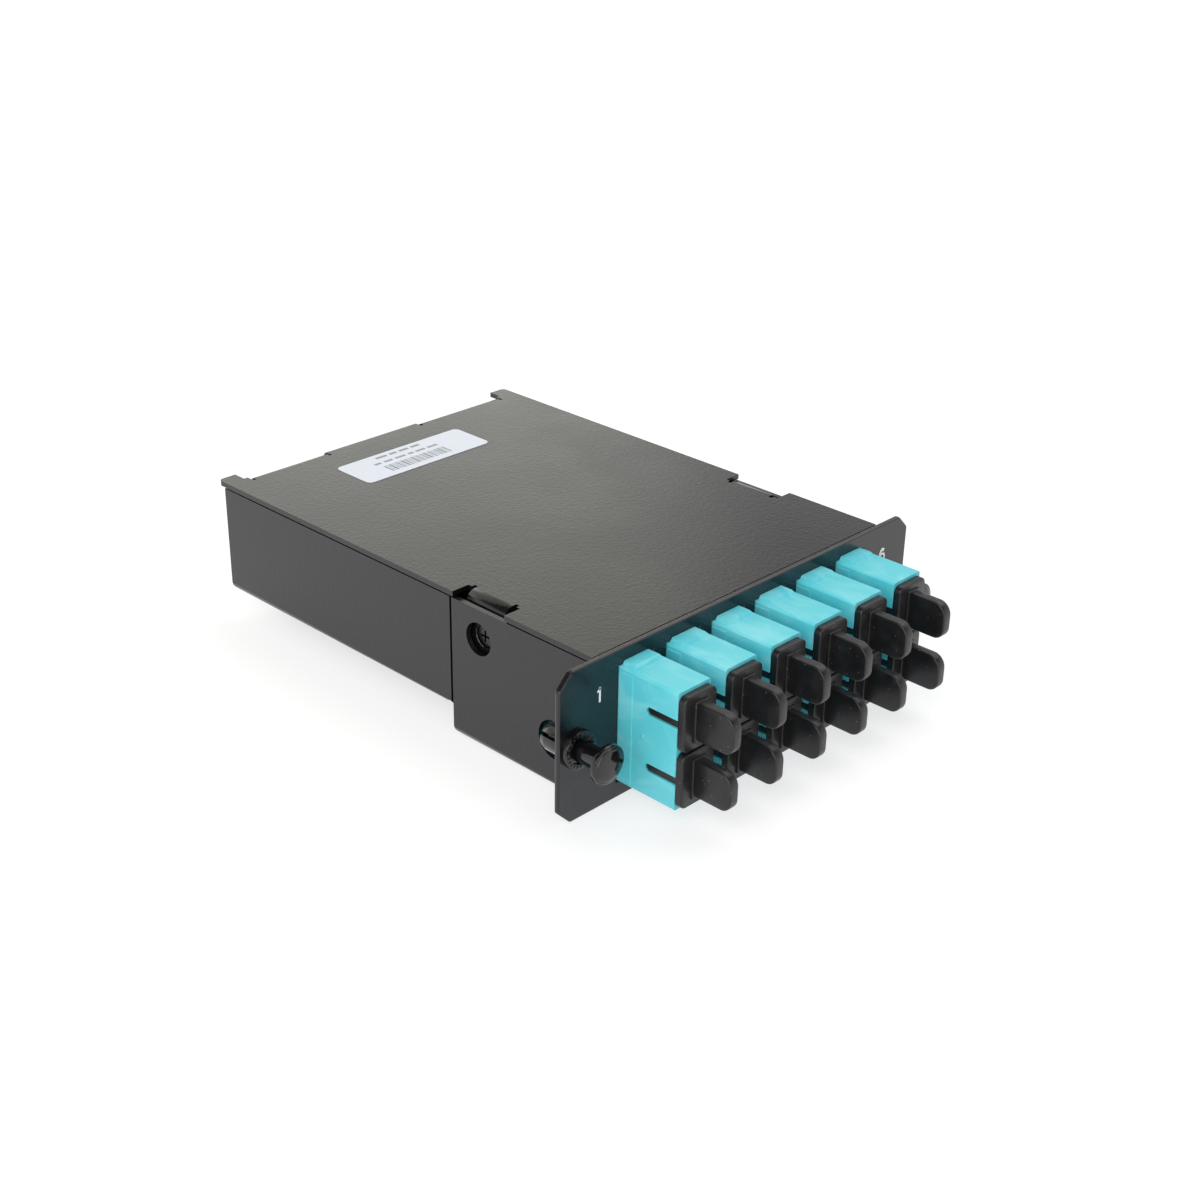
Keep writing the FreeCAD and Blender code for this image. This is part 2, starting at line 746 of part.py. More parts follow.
def port_inserts(number):
    """The two latch inserts of an adapter, each with a sleeve holder and four hook arms."""
    x = adapter_x(number)
    inserts = []
    for z in port_heights():
        half_w, half_h = port_width / 2 - insert_gap, port_height / 2 - insert_gap
        insert = box(x - half_w, x + half_w, adapter_middle - web_thickness / 2,
                     adapter_middle + web_thickness / 2, z - half_h, z + half_h)
        start, end = adapter_middle - holder_length / 2, adapter_middle + holder_length / 2
        insert = insert.fuse(prism("Y", holder_sides, x, z, holder_width / 2, start, end))
        for above in (-1, 1):
            for facing in (-1, 1):
                insert = insert.fuse(latch_arm(x, z, above, facing))
        bore = prism("Y", sleeve_sides, x, z, sleeve_radius + small_gap, start, end)
        inserts.append(insert.cut(bore).removeSplitter())
    return Part.makeCompound(inserts)


def alignment_sleeves():
    """Split ceramic sleeves, one in the holder of each insert."""
    sleeves = []
    start, end = adapter_middle - sleeve_length / 2, adapter_middle + sleeve_length / 2
    for number in range(1, adapter_count + 1):
        x = adapter_x(number)
        for z in port_heights():
            sleeve = prism("Y", sleeve_sides, x, z, sleeve_radius, start, end)
            sleeve = sleeve.cut(prism("Y", sleeve_sides, x, z, sleeve_bore, start, end))
            slit = box(x - sleeve_slit / 2, x + sleeve_slit / 2, start, end, z, z + sleeve_radius * 2)
            sleeves.append(sleeve.cut(slit))
    return Part.makeCompound(sleeves)


def inner_connectors(number):
    """The two plugs in the adapter's rear ports."""
    x = adapter_x(number)
    nose_front = adapter_middle + web_thickness / 2 + nose_gap
    plugs = []
    for z in port_heights():
        half_w, half_h = port_width / 2 - connector_gap, port_height / 2 - connector_gap
        plug = box(x - half_w, x + half_w, connector_front, connector_end, z - half_h, z + half_h)
        plug = bevel_edges(plug, connector_edge, lambda e: (
            not runs_along(e, "Y") and abs(middle(e).y - connector_end) < near))
        plug = plug.fuse(box(x - nose_width / 2, x + nose_width / 2, nose_front, connector_front,
                             z - nose_height / 2, z + nose_height / 2))
        half = nose_bore / 2
        plug = plug.cut(box(x - half, x + half, nose_front, connector_front, z - half, z + half))
        plugs.append(plug.removeSplitter())
    return Part.makeCompound(plugs)


def inner_ferrules():
    """Ceramic ferrules, from each inner plug to the middle of its sleeve."""
    ferrules = []
    for number in range(1, adapter_count + 1):
        for z in port_heights():
            ferrules.append(prism("Y", sleeve_sides, adapter_x(number), z, ferrule_radius,
                                  adapter_middle, connector_front))
    return Part.makeCompound(ferrules)


def inner_boots():
    boots = []
    for number in range(1, adapter_count + 1):
        for z in port_heights():
            boots.append(frustum(boot_sides, adapter_x(number), z, connector_end, boot_wide / 2,
                                 connector_end + boot_length, boot_narrow / 2))
    return Part.makeCompound(boots)


def dust_cap(number, z):
    """Soft cap: hollow plug with a key, a flange over the port's face and a fin to pull it by."""
    x = adapter_x(number)
    back = adapter_face - cap_gap
    front = back - cap_flange_depth
    w, h = cap_flange_width / 2, cap_flange_height / 2
    flange = box(x - w, x + w, front, back, z - h, z + h)
    flange = bevel_edges(flange, cap_flange_bevel, lambda e: runs_along(e, "Y"))
    half_w, half_h = port_width / 2 - cap_gap, port_height / 2 - cap_gap
    plug_end = back + cap_plug_length
    plug = box(x - half_w, x + half_w, back, plug_end, z - half_h, z + half_h)
    in_w, in_h = half_w - cap_plug_wall, half_h - cap_plug_wall
    plug = plug.cut(box(x - in_w, x + in_w, back + cap_plug_wall, plug_end, z - in_h, z + in_h))
    half_key = key_width / 2 - cap_gap
    key = box(x - adapter_width / 2 + cap_key_drop, x - half_w, back, plug_end,
              z - half_key, z + half_key)
    plug = plug.fuse(key)
    base_front = front - cap_base_depth
    base = box(x - cap_base_width / 2, x + cap_base_width / 2, base_front, front,
               z - fin_height / 2, z + fin_height / 2)
    tip = base_front - fin_length
    fin = box(x - fin_thickness / 2, x + fin_thickness / 2, tip, front,
              z - fin_height / 2, z + fin_height / 2)
    fin = round_edges(fin, fin_corner_top, lambda e: (
        runs_along(e, "X") and abs(middle(e).y - tip) < near and middle(e).z > z))
    fin = round_edges(fin, fin_corner_bottom, lambda e: (
        runs_along(e, "X") and abs(middle(e).y - tip) < near and middle(e).z < z))
    return flange.fuse(plug).fuse(base).fuse(fin).removeSplitter()


def mpo_adapter():
    back, face = mpo_back, mpo_face
    w, h = mpo_width / 2, mpo_height / 2
    body = box(mpo_x - w, mpo_x + w, back, face, mpo_z - h, mpo_z + h)
    flange = box(mpo_x - mpo_flange_width / 2, mpo_x + mpo_flange_width / 2, rear_wall_y,
                 rear_wall_y + mpo_flange_depth, mpo_z - h, mpo_z + h)
    body = body.fuse(flange).removeSplitter()
    body = bevel_edges(body, mpo_cap_corner, lambda e: (
        runs_along(e, "Y") and abs(abs(middle(e).x - mpo_x) - mpo_flange_width / 2) < near))
    for x in mpo_screw_columns():
        body = body.cut(prism("Y", screw_sides, x, mpo_z, mpo_screw_radius + mpo_screw_clearance,
                              rear_wall_y, rear_wall_y + mpo_flange_depth))
    return body.cut(box(mpo_x - mpo_port_width / 2, mpo_x + mpo_port_width / 2, back, face,
                        mpo_z - mpo_port_height / 2, mpo_z + mpo_port_height / 2))


def mpo_screws():
    screws = []
    seat = rear_wall_y + mpo_flange_depth
    tip = rear_wall_y - sheet - mpo_nut_height - mpo_screw_clearance
    for x in mpo_screw_columns():
        head = prism("Y", screw_sides, x, mpo_z, mpo_head_radius, seat, seat + mpo_head_height)
        shank = prism("Y", screw_sides, x, mpo_z, mpo_screw_radius, tip, seat)
        screws.append(head.fuse(shank).removeSplitter())
    return Part.makeCompound(screws)


def mpo_nuts():
    nuts = []
    seat = rear_wall_y - sheet
    for x in mpo_screw_columns():
        nut = prism("Y", nut_sides, x, mpo_z, mpo_nut_width / 2, seat - mpo_nut_height, seat)
        nuts.append(nut.cut(prism("Y", screw_sides, x, mpo_z, mpo_screw_radius + small_gap,
                                  seat - mpo_nut_height, seat)))
    return Part.makeCompound(nuts)


def mpo_dust_cap():
    seat = mpo_face + cap_gap
    half_w, half_h = mpo_port_width / 2 - cap_gap, mpo_port_height / 2 - cap_gap
    plug = box(mpo_x - half_w, mpo_x + half_w, seat - mpo_cap_plug, seat, mpo_z - half_h, mpo_z + half_h)
    in_w, in_h = half_w - mpo_cap_wall, half_h - mpo_cap_wall
    plug = plug.cut(box(mpo_x - in_w, mpo_x + in_w, seat - mpo_cap_plug, seat - mpo_cap_wall,
                        mpo_z - in_h, mpo_z + in_h))
    w, h = mpo_width / 2 + mpo_cap_lip, mpo_height / 2 + mpo_cap_lip
    flange = box(mpo_x - w, mpo_x + w, seat, seat + mpo_cap_flange, mpo_z - h, mpo_z + h)
    flange = bevel_edges(flange, mpo_cap_corner, lambda e: runs_along(e, "Y"))
    grip = box(mpo_x - half_w, mpo_x + half_w, seat + mpo_cap_flange,
               seat + mpo_cap_flange + mpo_cap_grip, mpo_z - mpo_cap_grip_height / 2,
               mpo_z + mpo_cap_grip_height / 2)
    grip = bevel_edges(grip, mpo_cap_corner, lambda e: (
        runs_along(e, "Z") and middle(e).y > seat + mpo_cap_flange + mpo_cap_grip / 2))
    return plug.fuse(flange).fuse(grip).removeSplitter()


def mpo_connector():
    """Plug of the inner cable end: the part in the adapter, and a wider push-pull grip."""
    half_w, half_h = mpo_port_width / 2 - mpo_plug_wall, mpo_port_height / 2 - mpo_plug_wall
    body = box(mpo_x - half_w, mpo_x + half_w, mpo_back - cap_gap, mpo_plug_front,
               mpo_z - half_h, mpo_z + half_h)
    grip = box(mpo_x - mpo_grip_width / 2, mpo_x + mpo_grip_width / 2, mpo_grip_end,
               mpo_back - cap_gap, mpo_z - mpo_grip_height / 2, mpo_z + mpo_grip_height / 2)
    grip = bevel_edges(grip, mpo_grip_edge, lambda e: runs_along(e, "Y"))
    body = body.fuse(grip).removeSplitter()
    back = mpo_ferrule_front - mpo_ferrule_length
    return body.cut(box(mpo_x - mpo_ferrule_width / 2 - small_gap, mpo_x + mpo_ferrule_width / 2 + small_gap,
                        back, mpo_plug_front, mpo_z - mpo_ferrule_height / 2 - small_gap,
                        mpo_z + mpo_ferrule_height / 2 + small_gap))


def mpo_ferrule():
    back = mpo_ferrule_front - mpo_ferrule_length
    block = box(mpo_x - mpo_ferrule_width / 2, mpo_x + mpo_ferrule_width / 2, back, mpo_ferrule_front,
                mpo_z - mpo_ferrule_height / 2, mpo_z + mpo_ferrule_height / 2)
    for x in guide_pin_columns():
        block = block.cut(prism("Y", nut_sides, x, mpo_z, guide_pin_radius + small_gap,
                                back + small_gap, mpo_ferrule_front))
    return block


def guide_pin_columns():
    return (mpo_x - guide_pin_spacing / 2, mpo_x + guide_pin_spacing / 2)


def guide_pins():
    back = mpo_ferrule_front - mpo_ferrule_length
    tip = mpo_ferrule_front + guide_pin_length
    pins = [prism("Y", nut_sides, x, mpo_z, guide_pin_radius, back + small_gap, tip)
            for x in guide_pin_columns()]
    return Part.makeCompound(pins)


def mpo_boot():
    return tapered_block(mpo_x, mpo_z, mpo_grip_end, (mpo_boot_width, mpo_boot_height),
                         mpo_grip_end - mpo_boot_length, (mpo_boot_end, mpo_boot_end))


def fanout_block():
    block = box(-block_width / 2, block_width / 2, block_front, block_back, block_floor, block_top)
    return bevel_edges(block, block_edge, lambda e: (
        runs_along(e, "Y") and abs(middle(e).z - block_top) < near))


def fanout_pad():
    half = block_width / 2 - pad_inset
    return box(-half, half, block_front + pad_inset, block_back - pad_inset, rear_floor_top, block_floor)


def facets_round(route, facets):
    """The route with each corner replaced by a tangent arc, as large as fits, in a few facets."""
    spots = [Vec(*point) for point in route]
    shares = [1.0] + [0.5] * (len(spots) - 3) + [1.0]
    reaches = [arc_share * share * (b - a).Length for a, b, share in zip(spots, spots[1:], shares)]
    path = [spots[0]]
    for number, (before, corner, after) in enumerate(zip(spots, spots[1:], spots[2:])):
        incoming, outgoing = (corner - before).normalize(), (after - corner).normalize()
        reach = min(reaches[number], reaches[number + 1])
        turn = incoming.getAngle(outgoing)
        bend = reach / math.tan(turn / 2)
        across = incoming.cross(outgoing).cross(incoming).normalize()
        first = corner - incoming * reach
        outer = bend / math.cos(turn / facets / 2)
        path.append(first)
        for k in range(facets):
            angle = turn * (k + 0.5) / facets
            path.append(first + incoming * (outer * math.sin(angle))
                        + across * (bend - outer * math.cos(angle)))
        path.append(first + incoming * (bend * math.sin(turn)) + across * (bend - bend * math.cos(turn)))
    return path + [spots[-1]]


def tube_along(route, radius, sides, facets):
    """A many-sided tube along the route, mitred where its direction changes."""
    path = facets_round(route, facets)
    heading = (path[1] - path[0]).normalize()
    side = heading.cross(Vec(0, 0, 1)).normalize()
    corners = [path[0] + side * a + Vec(0, 0, b) for a, b in ring_points(sides, radius, 0, 0)]
    rings = [corners]
    for before, here, after in zip(path, path[1:], path[2:] + [None]):
        run = (here - before).normalize()
        onward = run if after is None else (after - here).normalize()
        mitre = (run + onward).normalize()
        corners = [c + run * ((here - c).dot(mitre) / run.dot(mitre)) for c in corners]
        rings.append(corners)
    return solid_between(rings)


def lead_heights():
    upper = block_top - lead_top_drop
    return (upper, upper - lead_row_pitch)


def fibre_leads():
    """Twelve buffered fibres, from the fan-out block to the boots of the inner connectors."""
    leads = []
    boot_end = connector_end + boot_length
    for number in range(1, adapter_count + 1):
        start_x = (number - (adapter_count + 1) / 2) * lead_pitch
        x = adapter_x(number)
        for start_z, z in zip(lead_heights(), port_heights()):
            length = block_front - boot_end
            offset = math.hypot(x - start_x, z - start_z)
            corner = (length ** 2 + offset ** 2) / (4 * length)
            route = [(start_x, block_front, start_z), (start_x, block_front - corner, start_z),
                     (x, boot_end + corner, z), (x, boot_end, z)]
            leads.append(tube_along(route, lead_radius, lead_sides, lead_facets))
    return Part.makeCompound(leads)


def trunk_tube():
    """The twelve fibres in one tube: a loop round the housing, from the rear port to the block."""
    middle_z = (block_floor + block_top) / 2
    route = [(mpo_x, mpo_grip_end - mpo_boot_length, mpo_z), (mpo_x, trunk_front, mpo_z),
             (trunk_left, trunk_front, mpo_z), (trunk_left, trunk_rear, mpo_z),
             (0, trunk_rear, middle_z), (0, block_back, middle_z)]
    return tube_along(route, trunk_radius, trunk_sides, trunk_facets)


def trunk_saddle():
    """Post on the floor with a notch that the trunk lies in."""
    half = trunk_radius / math.cos(math.pi / trunk_sides) + saddle_gap
    wide = half + saddle_wall
    front, rear = saddle_y - saddle_length / 2, saddle_y + saddle_length / 2
    top = mpo_z + trunk_radius
    post = box(trunk_left - wide, trunk_left + wide, front, rear, rear_floor_top, top)
    return post.cut(box(trunk_left - half, trunk_left + half, front, rear, mpo_z - half, top))


def export(name, shape):
    if not shape.isValid():
        raise ValueError("not a valid shape: " + name)
    shape.exportStep(os.path.join("parts", name + ".step"))
    print("%-24s %d solid(s) %9.2f mm3" % (name, len(shape.Solids), shape.Volume))


def build():
    os.makedirs("parts", exist_ok=True)
    export("faceplate", faceplate())
    export("front_channel", front_channel())
    export("rear_housing", rear_housing())
    export("top_cover", top_cover())
    export("label", label())
    export("cover_screws", cover_screws())
    export("clinch_nuts", clinch_nuts())
    export("floor_rivets", floor_rivets())
    export("grommets", grommets())
    for side, name in ((-1, "left"), (1, "right")):
        export("cover_bracket_" + name, cover_bracket(side))
        export("plunger_" + name, plunger(side))
    for number in range(1, adapter_count + 1):
        export("sc_adapter_%d" % number, sc_adapter(number))
        export("port_inserts_%d" % number, port_inserts(number))
        for row, z in zip(("upper", "lower"), port_heights()):
            export("dust_cap_%d_%s" % (number, row), dust_cap(number, z))
    for number in range(1, adapter_count + 1):
        export("inner_connectors_%d" % number, inner_connectors(number))
    export("alignment_sleeves", alignment_sleeves())
    export("inner_ferrules", inner_ferrules())
    export("inner_boots", inner_boots())
    export("mpo_adapter", mpo_adapter())
    export("mpo_screws", mpo_screws())
    export("mpo_nuts", mpo_nuts())
    export("mpo_dust_cap", mpo_dust_cap())
    export("mpo_connector", mpo_connector())
    export("mpo_ferrule", mpo_ferrule())
    export("guide_pins", guide_pins())
    export("mpo_boot", mpo_boot())
    export("fanout_block", fanout_block())
    export("fanout_pad", fanout_pad())
    export("fibre_leads", fibre_leads())
    export("trunk_tube", trunk_tube())
    export("trunk_saddle", trunk_saddle())


build()
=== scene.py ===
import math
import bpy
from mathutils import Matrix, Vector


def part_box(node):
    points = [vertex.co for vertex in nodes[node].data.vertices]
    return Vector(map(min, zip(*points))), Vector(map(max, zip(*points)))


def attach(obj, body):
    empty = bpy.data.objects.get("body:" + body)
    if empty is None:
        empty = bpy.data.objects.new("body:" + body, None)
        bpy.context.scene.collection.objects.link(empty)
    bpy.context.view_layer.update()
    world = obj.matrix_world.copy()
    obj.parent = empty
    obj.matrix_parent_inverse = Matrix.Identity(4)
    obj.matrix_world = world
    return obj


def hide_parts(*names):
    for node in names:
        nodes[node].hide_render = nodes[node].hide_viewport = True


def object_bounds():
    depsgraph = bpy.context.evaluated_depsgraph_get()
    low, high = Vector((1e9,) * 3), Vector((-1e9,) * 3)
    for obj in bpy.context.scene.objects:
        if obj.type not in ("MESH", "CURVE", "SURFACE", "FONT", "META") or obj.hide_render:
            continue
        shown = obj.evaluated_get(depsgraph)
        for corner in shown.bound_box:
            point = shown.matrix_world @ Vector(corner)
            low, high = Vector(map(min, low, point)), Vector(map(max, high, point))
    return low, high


bl_info = {
    "name": "Fibre cassette",
    "version": (1, 0, 0),
    "blender": (4, 5, 0),
    "location": "View3D > Sidebar > Cassette",
    "description": "Dresses a rack cassette for optical fibre: finishes, soft caps, push fasteners and print",
    "category": "Object",
}

import bpy
from mathutils import Matrix, Vector

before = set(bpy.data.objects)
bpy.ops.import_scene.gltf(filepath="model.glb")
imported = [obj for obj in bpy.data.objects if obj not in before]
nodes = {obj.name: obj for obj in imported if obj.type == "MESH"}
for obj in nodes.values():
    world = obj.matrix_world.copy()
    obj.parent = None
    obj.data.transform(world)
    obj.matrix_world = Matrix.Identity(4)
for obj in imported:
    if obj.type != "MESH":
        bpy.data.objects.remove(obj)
cad_low, cad_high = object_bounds()

MM = 0.001
ADAPTERS = range(1, 7)
ROWS = ("upper", "lower")
SIDES = (("left", -1), ("right", 1))


def hex_to_linear(code):
    """An sRGB colour such as "6FD3DB" as linear red, green, blue and alpha."""
    channels = [int(code[k:k + 2], 16) / 255 for k in (0, 2, 4)]
    return [c / 12.92 if c <= 0.04045 else ((c + 0.055) / 1.055) ** 2.4 for c in channels] + [1.0]


def colour_property(name, description, code):
    return bpy.props.FloatVectorProperty(
        name=name, description=description, subtype="COLOR", size=4, min=0, max=1,
        default=hex_to_linear(code))


def length_property(name, description, millimetres):
    return bpy.props.FloatProperty(
        name=name, description=description, default=millimetres * MM, min=0,
        subtype="DISTANCE", unit="LENGTH", precision=5)


class CassetteFinishes(bpy.types.PropertyGroup):
    """Colours of the cassette's materials."""
    powder_coat: colour_property("Powder coat", "Folded steel panels", "0B0B0C")
    powder_fleck: colour_property("Powder coat fleck", "Lighter grains in the coat", "1A1A1B")
    aqua: colour_property("Adapter aqua", "Moulded adapter housings", "5FD0DC")
    # Pale aqua: partly sink marks and rubbed spots, partly a painted highlight that lightens the adapters in
    # patches.
    aqua_sink_and_highlight: colour_property("Adapter aqua, pale", "Where the moulding sank or was rubbed", "8CE0E9")
    cap_black: colour_property("Cap black", "Soft dust caps", "101011")
    cap_dust: colour_property("Cap dust", "Rubbed patches on the caps", "2B2A2B")
    cap_speck: colour_property("Cap speck", "Grains of dust on the caps", "707074")
    gloss_black: colour_property("Fastener black", "Push fasteners", "0E0E11")
    plastic_black: colour_property("Port black", "Rear port", "1B1B1D")
    zinc: colour_property("Zinc", "Plated screws, nuts and pins", "C9CACC")
    dark_zinc: colour_property("Blackened zinc", "Screws of the cover", "454340")
    rivet: colour_property("Rivet aluminium", "Rivets through the floor", "B9BABD")
    label_white: colour_property("Label film", "Label on the cover", "DADFE9")
    label_grey: colour_property("Label print", "Bars on the label", "9DA0AB")
    number_white: colour_property("Port numbers", "Numbers on the faceplate", "FDFEFF")
    natural: colour_property("Natural nylon", "Latch inserts and saddle", "D9D3C2")
    ceramic: colour_property("Ceramic", "Sleeves and ferrules", "EDEBE6")
    foam: colour_property("Foam", "Pad under the fan-out block", "5A5A5C")
    jacket: colour_property("Fibre jacket", "Buffered fibres and their tube", "3FB9C0")


class CassetteSizes(bpy.types.PropertyGroup):
    """Sizes of what is modelled here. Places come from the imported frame."""
    panel_edge: length_property("Panel edge", "Coated edge radius of the sheet metal", 0.2)
    plate_edge: length_property("Plate edge", "Edge radius of the punched faceplate", 0.38)
    moulded_edge: length_property("Moulded edge", "Edge radius of the adapters", 0.12)
    flange_step: length_property("Flange step", "Adapter's flange past its body", 0.2)
    flange_corner: length_property("Cap corner", "Corner radius of a cap's flange", 1.5)
    flange_depth: length_property("Cap flange", "Depth of a cap's flange", 1.6)
    cap_edge: length_property("Cap edge", "Edge radius of the soft caps", 0.3)
    base_width: length_property("Cap base width", "Pedestal between flange and fin", 3.8)
    base_depth: length_property("Cap base depth", "Pedestal between flange and fin", 0.5)
    base_height: length_property("Cap base height", "Pedestal between flange and fin", 8.9)
    fin_thickness: length_property("Fin thickness", "Fin of a cap", 2.4)
    fin_height: length_property("Fin height", "Fin of a cap", 8.4)
    fin_length: length_property("Fin length", "Fin of a cap, from its pedestal", 8.95)
    fin_top: length_property("Fin top corner", "Radius of the fin's upper corner", 3.0)
    fin_bottom: length_property("Fin bottom corner", "Radius of the fin's lower corner", 2.5)
    plug_wall: length_property("Plug wall", "Wall of a cap's hollow plug", 0.9)
    key_width: length_property("Key width", "Key of a cap's plug, in its adapter's slot", 1.6)
    key_length: length_property("Key length", "Key of a cap's plug, behind its flange", 8.0)
    number_height: length_property("Number height", "Height of the port numbers", 3.35)
    number_width: length_property("Number width", "Width of the port numbers", 2.3)
    number_stroke: length_property("Number stroke", "Width of a printed stroke", 0.5)


class CassetteStage(bpy.types.PropertyGroup):
    """Camera, floor and lights."""
    lens: bpy.props.FloatProperty(
        name="Lens", description="Focal length for a 36 mm wide sensor", default=55.0, min=1,
        subtype="DISTANCE_CAMERA")
    key_power: bpy.props.FloatProperty(
        name="Key light", description="Power of the large soft light", default=9.4, min=0,
        subtype="POWER", unit="POWER")
    top_power: bpy.props.FloatProperty(
        name="Top light", description="Power of the overhead light", default=3.4, min=0,
        subtype="POWER", unit="POWER")
    rear_power: bpy.props.FloatProperty(
        name="Rear light", description="Power of the light that the cover reflects", default=3.2,
        min=0, subtype="POWER", unit="POWER")
    fill: bpy.props.FloatProperty(
        name="Room light", description="Strength of the pale room on matte surfaces",
        default=0.4, min=0, max=2, subtype="FACTOR")
    zenith: bpy.props.FloatProperty(
        name="Ceiling", description="Strength of the ceiling in reflections", default=0.06,
        min=0, max=1, subtype="FACTOR")


# Shared modelling steps


def new_mesh_mode():
    """Leaves edit mode and clears the selection, so that the next primitive stands alone."""
    if bpy.context.mode != "OBJECT":
        bpy.ops.object.mode_set(mode="OBJECT")
    bpy.ops.object.select_all(action="DESELECT")


def edit(kind="FACE"):
    bpy.ops.object.mode_set(mode="EDIT")
    bpy.ops.mesh.select_mode(type=kind)


def select_where(test, kind="FACE"):
    """Selects the faces or edges of the edited mesh whose test holds, given centre and direction."""
    edit(kind)
    bpy.ops.mesh.select_all(action="DESELECT")
    bpy.ops.object.mode_set(mode="OBJECT")
    obj = bpy.context.object
    mesh = obj.data
    if kind == "FACE":
        for face in mesh.polygons:
            face.select = test(obj.matrix_world @ face.center, face.normal)
    else:
        for edge in mesh.edges:
            a, b = (obj.matrix_world @ mesh.vertices[k].co for k in edge.vertices)
            edge.select = test((a + b) / 2, (b - a).normalized())
    bpy.ops.object.mode_set(mode="EDIT")


def block(name, low, high):
    """A box from corner to corner, named and with its place in its mesh."""
    new_mesh_mode()
    low, high = Vector(low), Vector(high)
    bpy.ops.mesh.primitive_cube_add(size=1, location=(low + high) / 2)
    obj = bpy.context.object
    obj.name = name
    obj.scale = high - low
    bpy.ops.object.transform_apply(location=True, rotation=True, scale=True)
    return obj


def bevel_selected(width, segments, kind="EDGES"):
    bpy.ops.mesh.bevel(offset_type="OFFSET", offset=width, segments=segments, affect=kind,
                       clamp_overlap=True)


def finish_piece(obj, material, body, smooth_degrees=40):
    """Places a finished piece: smooth where it curves, one material and its body."""
    new_mesh_mode()
    obj.select_set(True)
    bpy.context.view_layer.objects.active = obj
    bpy.ops.object.mode_set(mode="EDIT")
    bpy.ops.mesh.select_all(action="SELECT")
    bpy.ops.mesh.remove_doubles(threshold=1e-7)
    bpy.ops.mesh.normals_make_consistent(inside=False)
    bpy.ops.object.mode_set(mode="OBJECT")
    bpy.ops.object.transform_apply(location=True, rotation=True, scale=True)
    bpy.ops.object.shade_smooth_by_angle(angle=math.radians(smooth_degrees))
    obj.data.materials.clear()
    obj.data.materials.append(material)
    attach(obj, body)
    return obj


def join(parts, name):
    new_mesh_mode()
    for part in parts:
        part.select_set(True)
    bpy.context.view_layer.objects.active = parts[0]
    if len(parts) > 1:
        bpy.ops.object.join()
    joined = bpy.context.object
    joined.name = name
    joined.data.name = name
    return joined


def copy_to(master, name, offset):
    """A copy with its own mesh, moved by the offset, with its place in its mesh."""
    new_mesh_mode()
    master.select_set(True)
    bpy.context.view_layer.objects.active = master
    bpy.ops.object.duplicate(linked=False)
    copy = bpy.context.object
    copy.name = name
    copy.data.name = name
    bpy.ops.transform.translate(value=offset)
    bpy.ops.object.transform_apply(location=True, rotation=True, scale=True)
    return copy


def turned(name, x, z, profile, segments):
    """A turned piece about a line along Y: a ring that is extruded and scaled through a profile
    of (radius, y) points. A radius of 0 at either end closes it in a pole; without poles its
    last ring falls on its first and the doubles are merged."""
    new_mesh_mode()
    pole = profile[0][1] if profile[0][0] == 0 else None
    rings = profile[1:] if pole is not None else profile
    radius, along = rings[0]
    bpy.ops.mesh.primitive_circle_add(vertices=segments, radius=radius, location=(x, along, z),
                                      rotation=(math.pi / 2, 0, 0),
                                      fill_type="NOTHING" if pole is None else "TRIFAN")
    obj = bpy.context.object
    obj.name = name
    bpy.ops.object.transform_apply(location=True, rotation=True, scale=True)
    for vertex in obj.data.vertices:
        vertex.select = math.hypot(vertex.co.x - x, vertex.co.z - z) > radius / 2
        if not vertex.select:
            vertex.co.y = pole
    for edge in obj.data.edges:
        edge.select = all(obj.data.vertices[k].select for k in edge.vertices)
    for face in obj.data.polygons:
        face.select = False
    edit("EDGE")
    for next_radius, y in rings[1:]:
        bpy.ops.mesh.extrude_region()
        if abs(y - along) > 1e-9:
            bpy.ops.transform.translate(value=(0, y - along, 0))
        if next_radius == 0:
            bpy.ops.mesh.merge(type="CENTER")
            break
        if abs(next_radius - radius) > 1e-9:
            factor = next_radius / radius
            bpy.ops.transform.resize(value=(factor, 1, factor), center_override=(x, y, z))
        along, radius = y, next_radius
    bpy.ops.mesh.select_all(action="SELECT")
    bpy.ops.mesh.remove_doubles(threshold=1e-6)
    new_mesh_mode()
    return obj


# Materials


def add_node(tree, kind, inputs=None, **settings):
    """One shader node, its own settings, and its inputs: each a value or a (node, output) link."""
    node = tree.nodes.new(kind)
    for key, value in settings.items():
        setattr(node, key, value)
    for socket, value in (inputs or {}).items():
        if isinstance(value, tuple) and isinstance(value[0], bpy.types.Node):
            tree.links.new(value[0].outputs[value[1]], node.inputs[socket])
        else:
            node.inputs[socket].default_value = value
    return node


def new_material(name):
    """An empty node material: its tree, its shader and its object coordinates."""
    material = bpy.data.materials.new(name)
    material.use_nodes = True
    tree = material.node_tree
    shader = tree.nodes["Principled BSDF"]
    place = add_node(tree, "ShaderNodeTexCoord")
    return material, tree, shader, (place, "Object")


def set_shader(shader, **values):
    for key, value in values.items():
        shader.inputs[key.replace("_", " ")].default_value = value


def two_tone(tree, shader, pattern, low, high, colours):
    """Colours the shader from one colour to the other, as its pattern goes from low to high."""
    share = add_node(
        tree, "ShaderNodeMapRange",
        {"Value": (pattern, "Fac"), "From Min": low, "From Max": high})
    tone = add_node(
        tree, "ShaderNodeMix",
        {"Factor": (share, "Result"), "A": colours[0], "B": colours[1]}, data_type="RGBA")
    tree.links.new(tone.outputs["Result"], shader.inputs["Base Color"])


def uneven_tone(tree, shader, pattern, colour, darkest, lightest):
    """Colours the shader with one colour, darker and lighter by its pattern."""
    shade = add_node(
        tree, "ShaderNodeMapRange",
        {"Value": (pattern, "Fac"), "From Min": 0.3, "From Max": 0.7, "To Min": darkest,
         "To Max": lightest})
    tone = add_node(
        tree, "ShaderNodeVectorMath",
        {0: colour[:3], "Scale": (shade, "Result")}, operation="SCALE")
    tree.links.new(tone.outputs["Vector"], shader.inputs["Base Color"])


